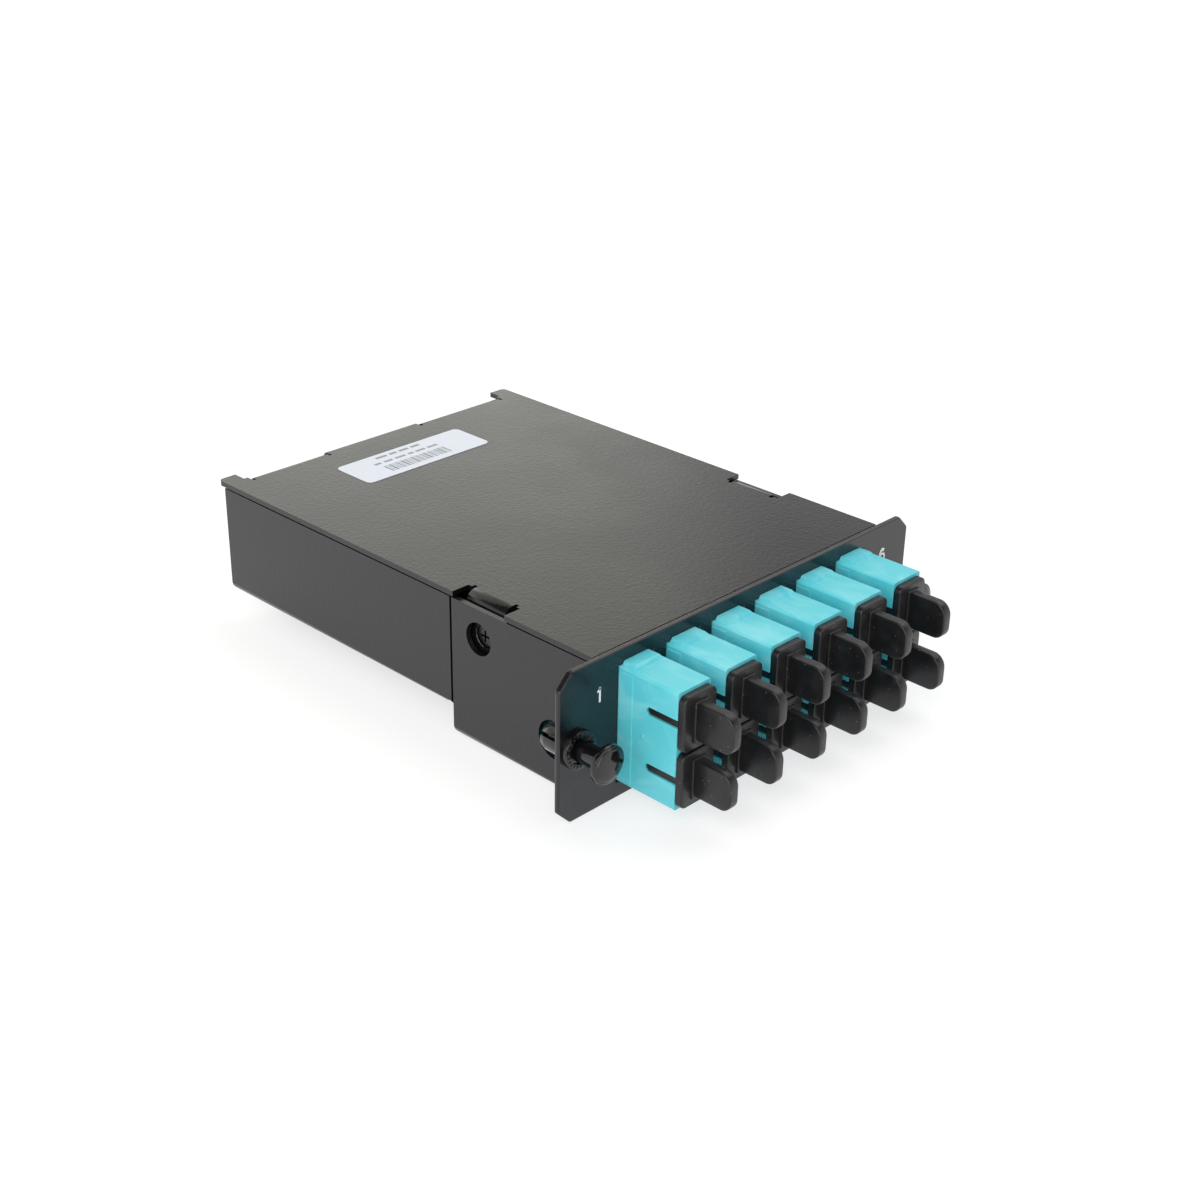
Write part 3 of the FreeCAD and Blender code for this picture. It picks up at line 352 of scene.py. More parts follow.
def powder_coated_steel(look):
    """Folded steel sheet, sprayed and baked: dark grey, satin, with an orange peel of about
    0.7 mm that breaks up reflections, and fine paler grains."""
    material, tree, shader, place = new_material("powder_coated_steel")
    set_shader(shader, Roughness=0.22, IOR=1.57)
    shader.inputs["Specular Tint"].default_value = (0.97, 0.94, 1.0, 1.0)
    grains = add_node(
        tree, "ShaderNodeTexNoise",
        {"Vector": place, "Scale": 2600.0, "Detail": 2.0, "Roughness": 0.6})
    peel = add_node(
        tree, "ShaderNodeTexNoise",
        {"Vector": place, "Scale": 1150.0, "Detail": 3.0, "Roughness": 0.55})
    cloud = add_node(
        tree, "ShaderNodeTexNoise",
        {"Vector": place, "Scale": 45.0, "Detail": 3.0, "Roughness": 0.5})
    two_tone(tree, shader, grains, 0.42, 0.72, (look.powder_coat, look.powder_fleck))
    satin = add_node(
        tree, "ShaderNodeMapRange",
        {"Value": (cloud, "Fac"), "From Min": 0.35, "From Max": 0.65, "To Min": 0.2,
         "To Max": 0.26})
    tree.links.new(satin.outputs["Result"], shader.inputs["Roughness"])
    bump = add_node(
        tree, "ShaderNodeBump",
        {"Height": (peel, "Fac"), "Strength": 0.2, "Distance": 0.0002})
    tree.links.new(bump.outputs["Normal"], shader.inputs["Normal"])
    return material


def moulded_aqua_plastic(look):
    """Injection moulded PBT: satin aqua, a little translucent, with paler flow clouds a few
    millimetres wide, partly moulding marks and partly a painted highlight, and a fine spark-eroded grain."""
    material, tree, shader, place = new_material("moulded_aqua_plastic")
    set_shader(shader, Roughness=0.38, IOR=1.55)
    set_shader(shader, Subsurface_Weight=0.12, Subsurface_Scale=0.0008)
    shader.inputs["Subsurface Radius"].default_value = (0.4, 1.0, 1.0)
    stretch = add_node(tree, "ShaderNodeMapping", {"Vector": place, "Scale": (1.0, 0.45, 1.0)})
    clouds = add_node(
        tree, "ShaderNodeTexNoise",
        {"Vector": (stretch, "Vector"), "Scale": 190.0, "Detail": 4.0, "Roughness": 0.55,
         "Distortion": 0.8})
    grain = add_node(tree, "ShaderNodeTexNoise", {"Vector": place, "Scale": 5200.0, "Detail": 1.0})
    # Paler patches along the flow clouds: partly moulding marks, partly a painted highlight.
    two_tone(tree, shader, clouds, 0.46, 0.8, (look.aqua, look.aqua_sink_and_highlight))
    gloss = add_node(
        tree, "ShaderNodeMapRange",
        {"Value": (clouds, "Fac"), "From Min": 0.3, "From Max": 0.7, "To Min": 0.27, "To Max": 0.4})
    tree.links.new(gloss.outputs["Result"], shader.inputs["Roughness"])
    fine = add_node(
        tree, "ShaderNodeBump",
        {"Height": (grain, "Fac"), "Strength": 0.1, "Distance": 0.00003})
    waves = add_node(
        tree, "ShaderNodeBump",
        {"Height": (clouds, "Fac"), "Strength": 0.12, "Distance": 0.0006,
         "Normal": (fine, "Normal")})
    tree.links.new(waves.outputs["Normal"], shader.inputs["Normal"])
    return material


def soft_black_elastomer(look):
    """Soft moulded elastomer: near black, matte with a weak sheen, marked by specks of dust
    and by paler rubbed patches a few millimetres wide."""
    material, tree, shader, place = new_material("soft_black_elastomer")
    set_shader(shader, Roughness=0.36, IOR=1.5, Sheen_Weight=0.05, Sheen_Roughness=0.5)
    shader.inputs["Specular Tint"].default_value = (0.98, 0.95, 1.0, 1.0)
    specks = add_node(
        tree, "ShaderNodeTexVoronoi",
        {"Vector": place, "Scale": 640.0, "Randomness": 1.0})
    speck = add_node(
        tree, "ShaderNodeMapRange",
        {"Value": (specks, "Distance"), "From Min": 0.1, "From Max": 0.04})
    patches = add_node(
        tree, "ShaderNodeTexNoise",
        {"Vector": place, "Scale": 260.0, "Detail": 4.0, "Roughness": 0.6})
    rubbed = add_node(
        tree, "ShaderNodeMapRange",
        {"Value": (patches, "Fac"), "From Min": 0.5, "From Max": 0.8, "To Max": 0.5})
    worn = add_node(
        tree, "ShaderNodeMix",
        {"Factor": (rubbed, "Result"), "A": look.cap_black, "B": look.cap_dust}, data_type="RGBA")
    marks = add_node(
        tree, "ShaderNodeMix",
        {"Factor": (speck, "Result"), "A": (worn, "Result"), "B": look.cap_speck}, data_type="RGBA")
    tree.links.new(marks.outputs["Result"], shader.inputs["Base Color"])
    matte = add_node(
        tree, "ShaderNodeMapRange",
        {"Value": (patches, "Fac"), "From Min": 0.3, "From Max": 0.7, "To Min": 0.3,
         "To Max": 0.44})
    tree.links.new(matte.outputs["Result"], shader.inputs["Roughness"])
    skin = add_node(tree, "ShaderNodeTexNoise", {"Vector": place, "Scale": 2200.0, "Detail": 2.0})
    bump = add_node(
        tree, "ShaderNodeBump",
        {"Height": (skin, "Fac"), "Strength": 0.15, "Distance": 0.0001})
    tree.links.new(bump.outputs["Normal"], shader.inputs["Normal"])
    return material


def glossy_black_nylon(look):
    """Polished mould nylon: black, with a clear gloss and the slow ripple of a moulding."""
    material, tree, shader, place = new_material("glossy_black_nylon")
    set_shader(shader, Roughness=0.08, IOR=1.55)
    shader.inputs["Base Color"].default_value = look.gloss_black
    ripple = add_node(tree, "ShaderNodeTexNoise", {"Vector": place, "Scale": 420.0, "Detail": 2.0})
    smear = add_node(
        tree, "ShaderNodeMapRange",
        {"Value": (ripple, "Fac"), "From Min": 0.35, "From Max": 0.65, "To Min": 0.05,
         "To Max": 0.12})
    tree.links.new(smear.outputs["Result"], shader.inputs["Roughness"])
    bump = add_node(
        tree, "ShaderNodeBump",
        {"Height": (ripple, "Fac"), "Strength": 0.12, "Distance": 0.0002})
    tree.links.new(bump.outputs["Normal"], shader.inputs["Normal"])
    return material


def moulded_plastic(name, colour, roughness, grain_scale):
    """Plain moulded plastic: satin, with a fine grain from the mould that softens its gloss."""
    material, tree, shader, place = new_material(name)
    set_shader(shader, Roughness=roughness, IOR=1.5)
    grain = add_node(
        tree, "ShaderNodeTexNoise",
        {"Vector": place, "Scale": grain_scale, "Detail": 3.0})
    uneven_tone(tree, shader, grain, colour, 0.9, 1.08)
    bump = add_node(
        tree, "ShaderNodeBump",
        {"Height": (grain, "Fac"), "Strength": 0.12, "Distance": 0.0001})
    tree.links.new(bump.outputs["Normal"], shader.inputs["Normal"])
    return material


def plated_metal(name, colour, roughness):
    """Bright plated or rolled metal: mirror-like, dulled in small patches by handling."""
    material, tree, shader, place = new_material(name)
    set_shader(shader, Metallic=1.0)
    shader.inputs["Base Color"].default_value = colour
    patches = add_node(
        tree, "ShaderNodeTexNoise",
        {"Vector": place, "Scale": 900.0, "Detail": 4.0, "Roughness": 0.65})
    dull = add_node(
        tree, "ShaderNodeMapRange",
        {"Value": (patches, "Fac"), "From Min": 0.3, "From Max": 0.7, "To Min": roughness * 0.7,
         "To Max": roughness * 1.5})
    tree.links.new(dull.outputs["Result"], shader.inputs["Roughness"])
    bump = add_node(
        tree, "ShaderNodeBump",
        {"Height": (patches, "Fac"), "Strength": 0.08, "Distance": 0.00005})
    tree.links.new(bump.outputs["Normal"], shader.inputs["Normal"])
    return material


def polyester_label(look):
    """Matte polyester label film: cool white, with a barely visible calendered texture."""
    material, tree, shader, place = new_material("polyester_label")
    set_shader(shader, Roughness=0.5, IOR=1.5)
    texture = add_node(
        tree, "ShaderNodeTexNoise",
        {"Vector": place, "Scale": 1800.0, "Detail": 2.0})
    uneven_tone(tree, shader, texture, look.label_white, 0.97, 1.0)
    bump = add_node(
        tree, "ShaderNodeBump",
        {"Height": (texture, "Fac"), "Strength": 0.06, "Distance": 0.00005})
    tree.links.new(bump.outputs["Normal"], shader.inputs["Normal"])
    return material


def printed_ink(name, colour, cover):
    """Printed ink: flat, a little uneven where it was laid on thinly."""
    material, tree, shader, place = new_material(name)
    set_shader(shader, Roughness=0.6, IOR=1.45)
    uneven = add_node(tree, "ShaderNodeTexNoise", {"Vector": place, "Scale": 2400.0, "Detail": 3.0})
    uneven_tone(tree, shader, uneven, colour, cover, 1.0)
    return material


def make_materials(look):
    """Each finish by the name of the material slot that it dresses."""
    return {
        "dark_powder_coat": powder_coated_steel(look),
        "aqua_plastic": moulded_aqua_plastic(look),
        "black_soft": soft_black_elastomer(look),
        "black_gloss": glossy_black_nylon(look),
        "black_plastic": moulded_plastic("black_moulded_pbt", look.plastic_black, 0.42, 1500.0),
        "natural_plastic": moulded_plastic("natural_nylon", look.natural, 0.45, 900.0),
        "aqua_jacket": moulded_plastic("aqua_fibre_jacket", look.jacket, 0.5, 1200.0),
        "white_ceramic": moulded_plastic("ground_zirconia", look.ceramic, 0.12, 3000.0),
        "foam": moulded_plastic("closed_cell_foam", look.foam, 0.9, 1800.0),
        "bright_steel": plated_metal("zinc_plated_steel", look.zinc, 0.22),
        "blackened_steel": plated_metal("blackened_zinc_steel", look.dark_zinc, 0.2),
        "rivet_alloy": plated_metal("aluminium_rivet", look.rivet, 0.35),
        "label_film": polyester_label(look),
        "label_ink": printed_ink("thermal_print", look.label_grey, 0.85),
        "number_ink": printed_ink("screen_printed_white", look.number_white, 0.94),
    }


materials = {}


def look():
    return bpy.context.scene.cassette_finishes


def sizes():
    return bpy.context.scene.cassette_sizes


def finish(name):
    if not materials:
        materials.update(make_materials(look()))
    return materials[name]


def dress(name, slot, edge=None):
    """Gives a carried-over node its material and, where stated, a rounded edge."""
    node = nodes[name]
    node.data.materials.clear()
    node.data.materials.append(finish(slot))
    if edge:
        weld = node.modifiers.new("weld", "WELD")
        weld.merge_threshold = 1e-6
        bevel = node.modifiers.new("edge", "BEVEL")
        bevel.width = edge
        bevel.segments = 2
        bevel.limit_method = "ANGLE"
        bevel.angle_limit = math.radians(35)
        bevel.use_clamp_overlap = True
        bevel.harden_normals = False


# Operators


class CASSETTE_OT_panels(bpy.types.Operator):
    """Powder coats the folded panels and rounds their cut edges"""
    bl_idname = "cassette.panels"
    bl_label = "Panels"

    def execute(self, context):
        dress("faceplate", "dark_powder_coat", sizes().plate_edge)
        for name in ("front_channel", "rear_housing", "top_cover",
                     "cover_bracket_left", "cover_bracket_right"):
            dress(name, "dark_powder_coat", sizes().panel_edge)
        dress("floor_rivets", "rivet_alloy", 0.1 * MM)
        return {"FINISHED"}


class CASSETTE_OT_adapters(bpy.types.Operator):
    """Finishes the duplex adapters"""
    bl_idname = "cassette.adapters"
    bl_label = "Adapters"

    def execute(self, context):
        for number in ADAPTERS:
            dress("sc_adapter_%d" % number, "aqua_plastic", sizes().moulded_edge)
            dress("port_inserts_%d" % number, "natural_plastic")
        self.gate_marks()
        return {"FINISHED"}

    def gate_marks(self):
        """The small round scar that the mould's gate left on each adapter's side."""
        marks = []
        for number in ADAPTERS:
            low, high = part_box("sc_adapter_%d" % number)
            side = low.x + sizes().flange_step
            height, from_front = 0.16 * MM, 8.9 * MM
            profile = [(0, -height), (0.22 * MM, -0.9 * height), (0.42 * MM, -0.4 * height),
                       (0.5 * MM, 0), (0.5 * MM, height), (0, height)]
            mark = turned("gate_%d" % number, 0, 0, profile, 20)
            turn = Matrix.Rotation(math.radians(-90), 4, "Z")
            mark.data.transform(Matrix.Translation((side, low.y + from_front, 0)) @ turn)
            marks.append(mark)
        scars = join(marks, "adapter_gate_marks")
        finish_piece(scars, finish("aqua_plastic"), "cassette", 30)


def cap_flange(box, back):
    """Rounded plate over the port's face."""
    size = sizes()
    low, high = box
    plate = block("flange", (low.x, back - size.flange_depth, low.z), (high.x, back, high.z))
    select_where(lambda at, way: abs(way.y) > 0.99, "EDGE")
    bevel_selected(size.flange_corner, 5)
    select_where(lambda at, way: way.y < -0.99)
    bpy.ops.mesh.region_to_loop()
    bevel_selected(size.cap_edge, 3)
    new_mesh_mode()
    return plate


def cap_pedestal(x, z, back):
    """Shallow pad from which the fin rises, drawn in towards its front."""
    size = sizes()
    half_w, half_h = size.base_width / 2, size.base_height / 2
    pad = block("pedestal", (x - half_w, back - size.base_depth, z - half_h),
                (x + half_w, back + 0.1 * MM, z + half_h))
    select_where(lambda at, way: way.y < -0.99)
    bpy.ops.mesh.region_to_loop()
    bevel_selected(0.22 * MM, 3)
    new_mesh_mode()
    return pad


def cap_fin(x, z, back, tip):
    """Fin to pull the cap by: two rounded front corners, then a soft edge all round."""
    size = sizes()
    half_w, half_h = size.fin_thickness / 2, size.fin_height / 2
    fin = block("fin", (x - half_w, tip, z - half_h), (x + half_w, back, z + half_h))
    for above, radius in ((True, size.fin_top), (False, size.fin_bottom)):
        select_where(lambda at, way: (abs(way.x) > 0.99 and at.y < tip + 0.1 * MM
                                      and (at.z > z) == above), "EDGE")
        bevel_selected(radius, 8)
    select_where(lambda at, way: abs(way.x) > 0.99)
    bpy.ops.mesh.region_to_loop()
    bevel_selected(0.32 * MM, 3)
    new_mesh_mode()
    return fin


def cap_plug(box, back):
    """Hollow plug inside the port, open to the rear."""
    size = sizes()
    low, high = box
    inset = 0.65 * MM
    drop = 1.65 * MM
    plug = block("plug", (low.x + inset, back - 0.1 * MM, low.z + drop),
                 (high.x - inset, high.y, high.z - drop))
    select_where(lambda at, way: way.y > 0.99)
    bpy.ops.mesh.inset(thickness=size.plug_wall, depth=0)
    bpy.ops.mesh.extrude_region_move(
        TRANSFORM_OT_translate={"value": (0, back + size.plug_wall - high.y, 0)})
    select_where(lambda at, way: abs(way.y) > 0.99 and at.y > back, "EDGE")
    bevel_selected(0.3 * MM, 2)
    new_mesh_mode()
    return plug


def cap_key(box, back):
    """Key along the plug's side, in the slot of the adapter's wall."""
    low, high = box
    half = sizes().key_width / 2
    end = back + sizes().key_length
    z = (low.z + high.z) / 2
    key = block("key", (low.x + 0.25 * MM, back - 0.1 * MM, z - half),
                (low.x + 1.1 * MM, end, z + half))
    select_where(lambda at, way: abs(way.x) > 0.99 and at.y > end - 0.1 * MM, "EDGE")
    bevel_selected(0.98 * half, 6)
    select_where(lambda at, way: way.x < -0.99)
    bpy.ops.mesh.region_to_loop()
    bevel_selected(0.12 * MM, 2)
    new_mesh_mode()
    return key


class CASSETTE_OT_dust_caps(bpy.types.Operator):
    """Models one soft dust cap and copies it to all twelve ports"""
    bl_idname = "cassette.dust_caps"
    bl_label = "Dust caps"

    def execute(self, context):
        first = "dust_cap_1_upper"
        low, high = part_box(first)
        middle = (low + high) / 2
        size = sizes()
        face = low.y + size.fin_length + size.base_depth
        back = face + size.flange_depth
        master = join([cap_flange((low, high), back), cap_pedestal(middle.x, middle.z, face),
                       cap_fin(middle.x, middle.z, face + 0.1 * MM, low.y),
                       cap_plug((low, high), back), cap_key((low, high), back)], "cap_master")
        for number in ADAPTERS:
            for row in ROWS:
                name = "dust_cap_%d_%s" % (number, row)
                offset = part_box(name)[0] - low
                cap = copy_to(master, name + "_soft", offset)
                finish_piece(cap, finish("black_soft"), name + "_body")
                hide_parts(name)
        bpy.data.objects.remove(master)
        return {"FINISHED"}


class CASSETTE_OT_push_fasteners(bpy.types.Operator):
    """Turns the split studs with their ribbed collars, and the domed plungers"""
    bl_idname = "cassette.push_fasteners"
    bl_label = "Push fasteners"

    def execute(self, context):
        for side, _ in SIDES:
            low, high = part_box("plunger_" + side)
            middle = (low + high) / 2
            self.plunger("plunger_" + side, low, high)
            self.stud(side, middle.x, middle.z)
            self.collar_ribs(side, middle.x, middle.z)
        return {"FINISHED"}

    def plunger(self, node, low, high):
        """Domed head with a rolled rim, the neck, and the thinner pin in the stud."""
        middle = (low + high) / 2
        radius = (high.x - low.x) / 2
        front, tip = low.y, high.y
        back = front + 1.9 * MM
        neck, pin, neck_end = 2.3 * MM, 1.6 * MM, tip - 4.0 * MM
        dome_radius, dome_height, dome_steps = radius * 0.86, 0.55 * MM, 8
        profile = [(0, front)]
        for k in range(1, dome_steps + 1):
            turn = math.radians(k * 90 / dome_steps)
            profile.append((dome_radius * math.sin(turn),
                            front + dome_height * (1 - math.cos(turn))))
        profile += [(radius * 0.93, front + 0.58 * MM), (radius * 0.985, front + 0.74 * MM),
                    (radius, front + 0.95 * MM), (radius, back - 0.25 * MM),
                    (radius * 0.98, back - 0.08 * MM), (radius * 0.94, back),
                    (radius * 0.9, back), (neck + 0.5 * MM, back),
                    (neck + 0.14 * MM, back + 0.14 * MM), (neck, back + 0.5 * MM),
                    (neck, neck_end - 0.3 * MM), (neck - 0.2 * MM, neck_end),
                    (pin, neck_end), (pin, tip - 0.3 * MM), (pin - 0.3 * MM, tip),
                    (0, tip)]
        piece = turned(node + "_domed", middle.x, middle.z, profile, 64)
        finish_piece(piece, finish("black_gloss"), node + "_body", 30)
        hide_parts(node)

    def stud(self, side, x, z):
        """Collar with a sunk face, and the stud behind the faceplate, split in four."""
        low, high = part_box("grommets")
        face, tip = low.y, high.y
        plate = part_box("faceplate")[0].y
        plunger_low, plunger_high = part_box("plunger_right")
        rim = high.x - (plunger_low.x + plunger_high.x) / 2
        bore, root, wall = 2.35 * MM, 3.35 * MM, 3.1 * MM
        sunk = face + 0.55 * MM
        profile = [(bore, sunk), (2.85 * MM, sunk), (2.93 * MM, face + 0.1 * MM),
                   (3.02 * MM, face), (rim - 0.22 * MM, face), (rim - 0.07 * MM, face + 0.07 * MM),
                   (rim, face + 0.25 * MM), (rim, plate), (root, plate), (root, 0), (wall, 0),
                   (wall, tip - 1.5 * MM), (wall - 0.1 * MM, tip - 1.25 * MM),
                   (wall - 0.42 * MM, tip - 0.15 * MM), (wall - 0.55 * MM, tip), (bore, tip),
                   (bore, sunk)]
        stud = turned("grommet_" + side, x, z, profile, 64)
        half = 0.4 * MM
        for turn in (30, 120):
            cutter = block("slit", (-4 * MM, 0, -half), (4 * MM, tip + MM, half))
            spun = Matrix.Rotation(math.radians(turn), 4, "Y")
            cutter.data.transform(Matrix.Translation((x, 0, z)) @ spun)
            cut_away(stud, cutter)
        finish_piece(stud, finish("black_gloss"), "cassette", 30)
        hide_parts("grommets")

    def collar_ribs(self, side, x, z):
        """A ring of short raised ribs on the collar's face, as a grip."""
        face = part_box("grommets")[0].y
        count, half = 22, 0.2 * MM
        inner, outer, depth, proud = 3.15 * MM, 3.85 * MM, 0.3 * MM, 0.16 * MM
        master = block("rib_" + side, (x - half, face, z + inner),
                       (x + half, face + depth, z + outer))
        select_where(lambda at, way: way.y < -0.99)
        bpy.ops.mesh.region_to_loop()
        bevel_selected(0.1 * MM, 2)
        new_mesh_mode()
        master.select_set(True)
        bpy.context.view_layer.objects.active = master
        bpy.ops.transform.translate(value=(0, -proud, 0))
        bpy.ops.object.transform_apply(location=True, rotation=True, scale=True)
        ribs = [master]
        for k in range(1, count):
            rib = copy_to(master, "rib_%s_%d" % (side, k), (0, 0, 0))
            turn = Matrix.Rotation(2 * math.pi * k / count, 4, "Y")
            to_axis = Matrix.Translation((x, 0, z))
            rib.data.transform(to_axis @ turn @ to_axis.inverted())
            ribs.append(rib)
        ring = join(ribs, "collar_ribs_" + side)
        finish_piece(ring, finish("black_gloss"), "cassette")


def cut_away(piece, cutter):
    """Cuts one piece's shape out of another and removes the cutter."""
    new_mesh_mode()
    piece.select_set(True)
    bpy.context.view_layer.objects.active = piece
    cut = piece.modifiers.new("cut", "BOOLEAN")
    cut.operation = "DIFFERENCE"
    cut.solver = "EXACT"
    cut.object = cutter
    bpy.ops.object.modifier_apply(modifier=cut.name)
    bpy.data.objects.remove(cutter)


def cross_recess(screw, centre, axis, reach, depth):
    """Cuts a cross into a screw's face, which looks along the axis: two crossed slots."""
    slot = 0.24 * MM
    for wide, tall in ((reach, slot), (slot, reach)):
        half = Vector((depth, wide, tall) if axis == "X" else (tall, depth, wide))
        cut_away(screw, block("cutter", centre - half, centre + half))


class CASSETTE_OT_screws(bpy.types.Operator):
    """Turns the screws of the cover and of the rear port, with their cross recesses"""
    bl_idname = "cassette.screws"
    bl_label = "Screws"

    def execute(self, context):
        self.cover_screws()
        self.port_screws()
        for name in ("clinch_nuts", "mpo_nuts", "guide_pins"):
            dress(name, "bright_steel", 0.08 * MM)
        return {"FINISHED"}

    def cover_screws(self):
        """Countersunk heads, flush with the cover's tabs."""
        low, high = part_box("cover_screws")
        middle = (low + high) / 2
        screws = []
        length, shank = 5.5 * MM, 1.5 * MM
        for side, sign in SIDES:
            face = high.x if sign > 0 else low.x
            profile = [(0, 0), (2.2 * MM, 0), (2.68 * MM, 0.06 * MM), (2.75 * MM, 0.14 * MM),
                       (shank, 1.25 * MM), (shank, length - 0.3 * MM),
                       (1.2 * MM, length), (0, length)]
            screw = turned("cover_screw_" + side, 0, 0, profile, 40)
            turn = Matrix.Rotation(math.radians(90 * sign), 4, "Z")
            screw.data.transform(Matrix.Translation((face, middle.y, middle.z)) @ turn)
            cross_recess(screw, Vector((face, middle.y, middle.z)), "X", 1.35 * MM, 0.8 * MM)
            finish_piece(screw, finish("blackened_steel"), "cassette", 30)
            screws.append(screw)
        for screw in screws:
            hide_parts("cover_screws")

    def port_screws(self):
        """Cheese heads on the rear port's flange."""
        low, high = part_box("mpo_screws")
        radius = (high.z - low.z) / 2 * 0.965       # a little inside the CAD's head
        inset = radius * 1.036                      # from that head's side to the screw's axis
        z = (low.z + high.z) / 2
        seat, shank = high.y - 1.2 * MM, 0.95 * MM
        for name, x in (("port_screw_inner", low.x + inset), ("port_screw_outer", high.x - inset)):
            profile = [(0, high.y), (radius * 0.8, high.y), (radius * 0.95, high.y - 0.12 * MM),
                       (radius, high.y - 0.32 * MM), (radius, seat), (shank, seat),
                       (shank, low.y + 0.2 * MM), (0.75 * MM, low.y), (0, low.y)]
            screw = turned(name, x, z, profile, 32)
            cross_recess(screw, Vector((x, high.y, z)), "Y", 0.95 * MM, 0.6 * MM)
            finish_piece(screw, finish("bright_steel"), "cassette", 30)
            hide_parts("mpo_screws")


class CASSETTE_OT_label(bpy.types.Operator):
    """Finishes the label and lays generic bars on it"""
    bl_idname = "cassette.label"
    bl_label = "Label"

    def execute(self, context):
        dress("label", "label_film")
        low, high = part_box("label")
        bars = []
        upper = ((10.7, 3.4), (14.9, 2.2), (17.9, 2.9), (21.6, 2.7))
        lower = ((8.0, 1.9), (10.9, 2.6), (14.3, 3.2), (18.4, 1.6), (20.8, 2.9), (24.5, 3.1))
        for strokes, bottom, height in ((upper, 10.3, 1.0), (lower, 7.4, 0.9)):
            for start, width in strokes:
                bars.append(self.bar(low, high, start, width, bottom, height))
        widths = (0.5, 0.25, 0.75, 0.25, 0.25, 0.5, 0.25, 0.75, 0.5, 0.25, 0.25, 0.75, 0.25, 0.5,
                  0.25, 0.5, 0.75, 0.25, 0.5, 0.25, 0.25, 0.5, 0.75, 0.25, 0.5)
        start, space, bottom, height = 8.9, 0.33, 2.1, 3.7
        for width in widths:
            bars.append(self.bar(low, high, start, width, bottom, height))
            start += width + space
        printed = join(bars, "label_bars")
        finish_piece(printed, finish("label_ink"), "cassette")
        return {"FINISHED"}

    def bar(self, low, high, start, width, bottom, height):
        """One thin printed bar, by millimetres from the label's front left corner."""
        return block("bar", (low.x + start * MM, low.y + bottom * MM, high.z - 0.02 * MM),
                     (low.x + (start + width) * MM, low.y + (bottom + height) * MM,
                      high.z + 0.01 * MM))


def arc_stroke(name, centre, radii, start, end):
    """A printed stroke along part of an ellipse, by its middle line and its angles from +X."""
    stroke = sizes().number_stroke
    new_mesh_mode()
    bpy.ops.mesh.primitive_plane_add(size=1, location=(radii[0], 0, 0))
    obj = bpy.context.object
    obj.name = name
    obj.scale = (stroke, 0.03 * MM, 1)
    bpy.ops.object.transform_apply(location=True, rotation=True, scale=True)
    edit("VERT")
    bpy.ops.mesh.select_all(action="SELECT")
    bpy.ops.mesh.spin(steps=28, angle=math.radians(end - start), center=(0, 0, 0),
                      axis=(0, 1, 0))
    new_mesh_mode()
    turn = Matrix.Rotation(math.radians(-start), 4, "Y")
    stretch = Matrix.Diagonal((1, 1, radii[1] / radii[0], 1))
    obj.data.transform(Matrix.Translation(centre) @ stretch @ turn)
    return obj


class CASSETTE_OT_port_numbers(bpy.types.Operator):
    """Prints the first and last port numbers on the faceplate"""
    bl_idname = "cassette.port_numbers"
    bl_label = "Port numbers"

    def execute(self, context):
        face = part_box("faceplate")[0].y
        size = sizes()
        height, wide, stroke = size.number_height, size.number_width, size.number_stroke
        right, bottom = -44.4 * MM, 7.3 * MM
        ink = 0.015 * MM        # half of the strokes' thickness, across the plate's face
        bar = block("bar", (right - stroke, face - ink, bottom),
                    (right, face + ink, bottom + height))
        flag = block("flag", (-0.5 * wide, -ink, -0.42 * stroke), (0, ink, 0.42 * stroke))
        slope = Matrix.Rotation(math.radians(-40), 4, "Y")
        tip = Vector((right - 0.1 * stroke, face, bottom + height - 0.45 * stroke))
        flag.data.transform(Matrix.Translation(tip) @ slope)
        one = join([bar, flag], "port_number_1")
        x, bottom = 46.8 * MM, 7.55 * MM
        reach = (wide - stroke) / 2
        bowl = arc_stroke("bowl", (x, face, bottom + wide / 2), (reach, reach), 0, 360)
        proud = 0.004 * MM      # keeps the two strokes out of one plane
        back = arc_stroke("back", (x, face - proud, bottom + height / 2),
                          (reach, (height - stroke) / 2), 50, 215)
        six = join([bowl, back], "port_number_6")
        for number in (one, six):
            finish_piece(number, finish("number_ink"), "cassette", 20)
        return {"FINISHED"}


class CASSETTE_OT_rear_port(bpy.types.Operator):
    """Finishes the rear twelve-fibre port and its cap"""
    bl_idname = "cassette.rear_port"
    bl_label = "Rear port"

    def execute(self, context):
        dress("mpo_adapter", "black_plastic", 0.2 * MM)
        dress("mpo_dust_cap", "black_soft", 0.3 * MM)
        return {"FINISHED"}


class CASSETTE_OT_inside(bpy.types.Operator):
    """Finishes what stands inside the housing"""
    bl_idname = "cassette.inside"
    bl_label = "Inside"

    def execute(self, context):
        for number in ADAPTERS:
            dress("inner_connectors_%d" % number, "aqua_plastic", 0.15 * MM)
        for name, slot in (("inner_boots", "black_soft"), ("mpo_boot", "black_soft"),
                           ("mpo_connector", "aqua_plastic"), ("mpo_ferrule", "black_plastic"),
                           ("fanout_block", "black_plastic"), ("fanout_pad", "foam"),
                           ("trunk_saddle", "natural_plastic"), ("fibre_leads", "aqua_jacket"),
                           ("trunk_tube", "aqua_jacket"), ("alignment_sleeves", "white_ceramic"),
                           ("inner_ferrules", "white_ceramic")):
            dress(name, slot)
        return {"FINISHED"}


def area_light(name, place, target, size, power, colour=(1, 1, 1)):
    light = bpy.data.lights.new(name, "AREA")
    light.shape = "DISK"
    light.size = size
    light.energy = power
    light.color = colour
    lamp = bpy.data.objects.new(name, light)
    lamp.location = place
    lamp.rotation_euler = (Vector(target) - Vector(place)).to_track_quat("-Z", "Y").to_euler()
    bpy.context.scene.collection.objects.link(lamp)


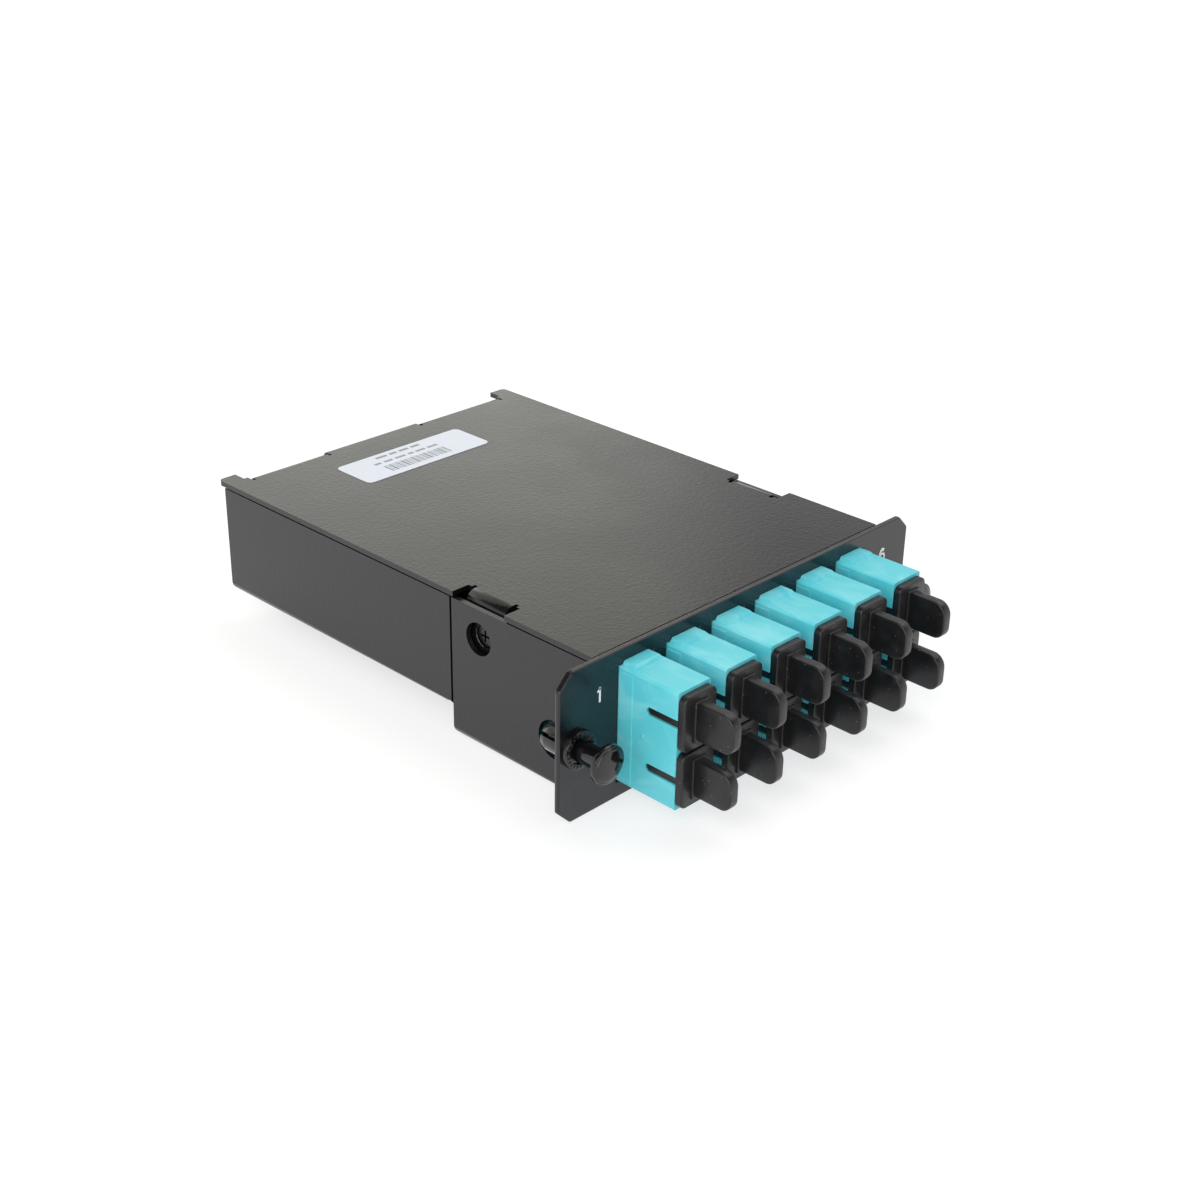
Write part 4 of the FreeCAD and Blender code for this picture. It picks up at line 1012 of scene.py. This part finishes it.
class CASSETTE_OT_stage(bpy.types.Operator):
    """Sets up the camera, the pale floor, the white room and the lights"""
    bl_idname = "cassette.stage"
    bl_label = "Stage"

    def execute(self, context):
        stage = context.scene.cassette_stage
        self.camera(stage)
        self.floor()
        self.room(stage)
        area_light("key_light", (-0.9, -0.38, 0.56), (0, 0.03, 0), 1.25, stage.key_power)
        area_light("top_light", (0.48, 0.02, 0.76), (0, 0.03, 0), 0.85, stage.top_power)
        area_light("rear_light", (0.16, 0.82, 0.5), (-0.02, 0.06, 0), 1.3, stage.rear_power,
                   (0.98, 1.0, 0.84))
        return {"FINISHED"}

    def camera(self, stage):
        eye = bpy.data.cameras.new("camera")
        eye.lens = stage.lens
        eye.sensor_width = 36
        eye.clip_start = 0.01
        camera = bpy.data.objects.new("camera", eye)
        # The camera's axes and place, solved from the photo's edges.
        right = Vector((0.69714, -0.71676, 0.01618))
        up = Vector((0.3090, 0.3208, 0.8953))
        back = Vector((-0.64692, -0.61917, 0.44510))
        place = Vector((-0.2689, -0.2154, 0.1836))
        turn = Matrix((right, up, back)).transposed().to_4x4()
        camera.matrix_world = Matrix.Translation(place) @ turn
        bpy.context.scene.collection.objects.link(camera)
        bpy.context.scene.camera = camera

    def floor(self):
        """A wide floor that is white to the camera, apart from the shadow on it. Its glow
        grows where the lamps no longer reach, so that it meets the white room."""
        new_mesh_mode()
        bpy.ops.mesh.primitive_plane_add(size=12, location=(0, 0, cad_low.z - 0.02 * MM))
        plane = bpy.context.object
        plane.name = "floor"
        material = bpy.data.materials.new("pale_floor")
        material.use_nodes = True
        tree = material.node_tree
        tree.nodes.clear()
        rays = add_node(tree, "ShaderNodeLightPath")
        matte = add_node(tree, "ShaderNodeBsdfDiffuse", {"Color": (0.86, 0.86, 0.86, 1)})
        thin = add_node(tree, "ShaderNodeBsdfDiffuse", {"Color": (0.4, 0.4, 0.4, 1)})
        place = add_node(tree, "ShaderNodeTexCoord")
        away = add_node(tree, "ShaderNodeVectorMath", {0: (place, "Object")}, operation="LENGTH")
        level = add_node(
            tree, "ShaderNodeMapRange",
            {"Value": (away, "Value"), "From Min": 0.5, "From Max": 2.0, "To Min": 0.68,
             "To Max": 0.9})
        glow = add_node(
            tree, "ShaderNodeEmission",
            {"Color": (1, 1, 1, 1), "Strength": (level, "Result")})
        both = add_node(tree, "ShaderNodeAddShader", {0: (thin, "BSDF"), 1: (glow, "Emission")})
        seen = add_node(
            tree, "ShaderNodeMath",
            {0: (rays, "Is Camera Ray"), 1: (rays, "Is Glossy Ray")}, operation="MAXIMUM")
        seen = add_node(
            tree, "ShaderNodeMath",
            {0: (seen, "Value"), 1: (rays, "Is Transmission Ray")}, operation="MAXIMUM")
        mix = add_node(
            tree, "ShaderNodeMixShader",
            {0: (seen, "Value"), 1: (matte, "BSDF"), 2: (both, "Shader")})
        add_node(tree, "ShaderNodeOutputMaterial", {"Surface": (mix, "Shader")})
        plane.data.materials.append(material)

    def room(self, stage):
        """White to the camera. In reflections it is white up to the lamps and dim above
        them, as a ceiling is. As a light it is softer."""
        world = bpy.data.worlds.new("white_room")
        bpy.context.scene.world = world
        world.use_nodes = True
        tree = world.node_tree
        tree.nodes.clear()
        rays = add_node(tree, "ShaderNodeLightPath")
        way = add_node(tree, "ShaderNodeTexCoord")
        height = add_node(tree, "ShaderNodeSeparateXYZ", {"Vector": (way, "Generated")})
        wall = add_node(
            tree, "ShaderNodeMapRange",
            {"Value": (height, "Z"), "From Min": 0.3, "From Max": 0.56, "To Min": 1.0,
             "To Max": stage.zenith}, interpolation_type="SMOOTHSTEP")
        seen = add_node(
            tree, "ShaderNodeMath",
            {0: (rays, "Is Glossy Ray"), 1: (rays, "Is Transmission Ray")}, operation="MAXIMUM")
        mirrored = add_node(
            tree, "ShaderNodeMix",
            {"Factor": (seen, "Value"), "A": stage.fill, "B": (wall, "Result")})
        level = add_node(
            tree, "ShaderNodeMath",
            {0: (mirrored, "Result"), 1: (rays, "Is Camera Ray")}, operation="MAXIMUM")
        light = add_node(
            tree, "ShaderNodeBackground",
            {"Color": (1, 1, 1, 1), "Strength": (level, "Value")})
        add_node(tree, "ShaderNodeOutputWorld", {"Surface": (light, "Background")})
        bpy.context.scene.view_settings.view_transform = "Standard"


class CASSETTE_PT_panel(bpy.types.Panel):
    """Lists the pieces that can be made"""
    bl_idname = "CASSETTE_PT_panel"
    bl_label = "Fibre cassette"
    bl_space_type = "VIEW_3D"
    bl_region_type = "UI"
    bl_category = "Cassette"

    def draw(self, context):
        for operator in OPERATORS:
            self.layout.operator(operator.bl_idname)
        for group in (context.scene.cassette_finishes, context.scene.cassette_sizes,
                      context.scene.cassette_stage):
            box = self.layout.box()
            for name in group.__annotations__:
                box.prop(group, name)


GROUPS = (CassetteFinishes, CassetteSizes, CassetteStage)
OPERATORS = (CASSETTE_OT_stage, CASSETTE_OT_panels, CASSETTE_OT_adapters, CASSETTE_OT_dust_caps,
             CASSETTE_OT_push_fasteners, CASSETTE_OT_screws, CASSETTE_OT_label,
             CASSETTE_OT_port_numbers, CASSETTE_OT_rear_port, CASSETTE_OT_inside)
CLASSES = GROUPS + OPERATORS + (CASSETTE_PT_panel,)


def register():
    for kind in CLASSES:
        bpy.utils.register_class(kind)
    scene = bpy.types.Scene
    scene.cassette_finishes = bpy.props.PointerProperty(type=CassetteFinishes)
    scene.cassette_sizes = bpy.props.PointerProperty(type=CassetteSizes)
    scene.cassette_stage = bpy.props.PointerProperty(type=CassetteStage)


def unregister():
    scene = bpy.types.Scene
    del scene.cassette_finishes, scene.cassette_sizes, scene.cassette_stage
    for kind in reversed(CLASSES):
        bpy.utils.unregister_class(kind)


def main():
    register()
    bpy.ops.cassette.stage()
    bpy.ops.cassette.panels()
    bpy.ops.cassette.adapters()
    bpy.ops.cassette.dust_caps()
    bpy.ops.cassette.push_fasteners()
    bpy.ops.cassette.screws()
    bpy.ops.cassette.label()
    bpy.ops.cassette.port_numbers()
    bpy.ops.cassette.rear_port()
    bpy.ops.cassette.inside()


if __name__ == "__main__":
    main()
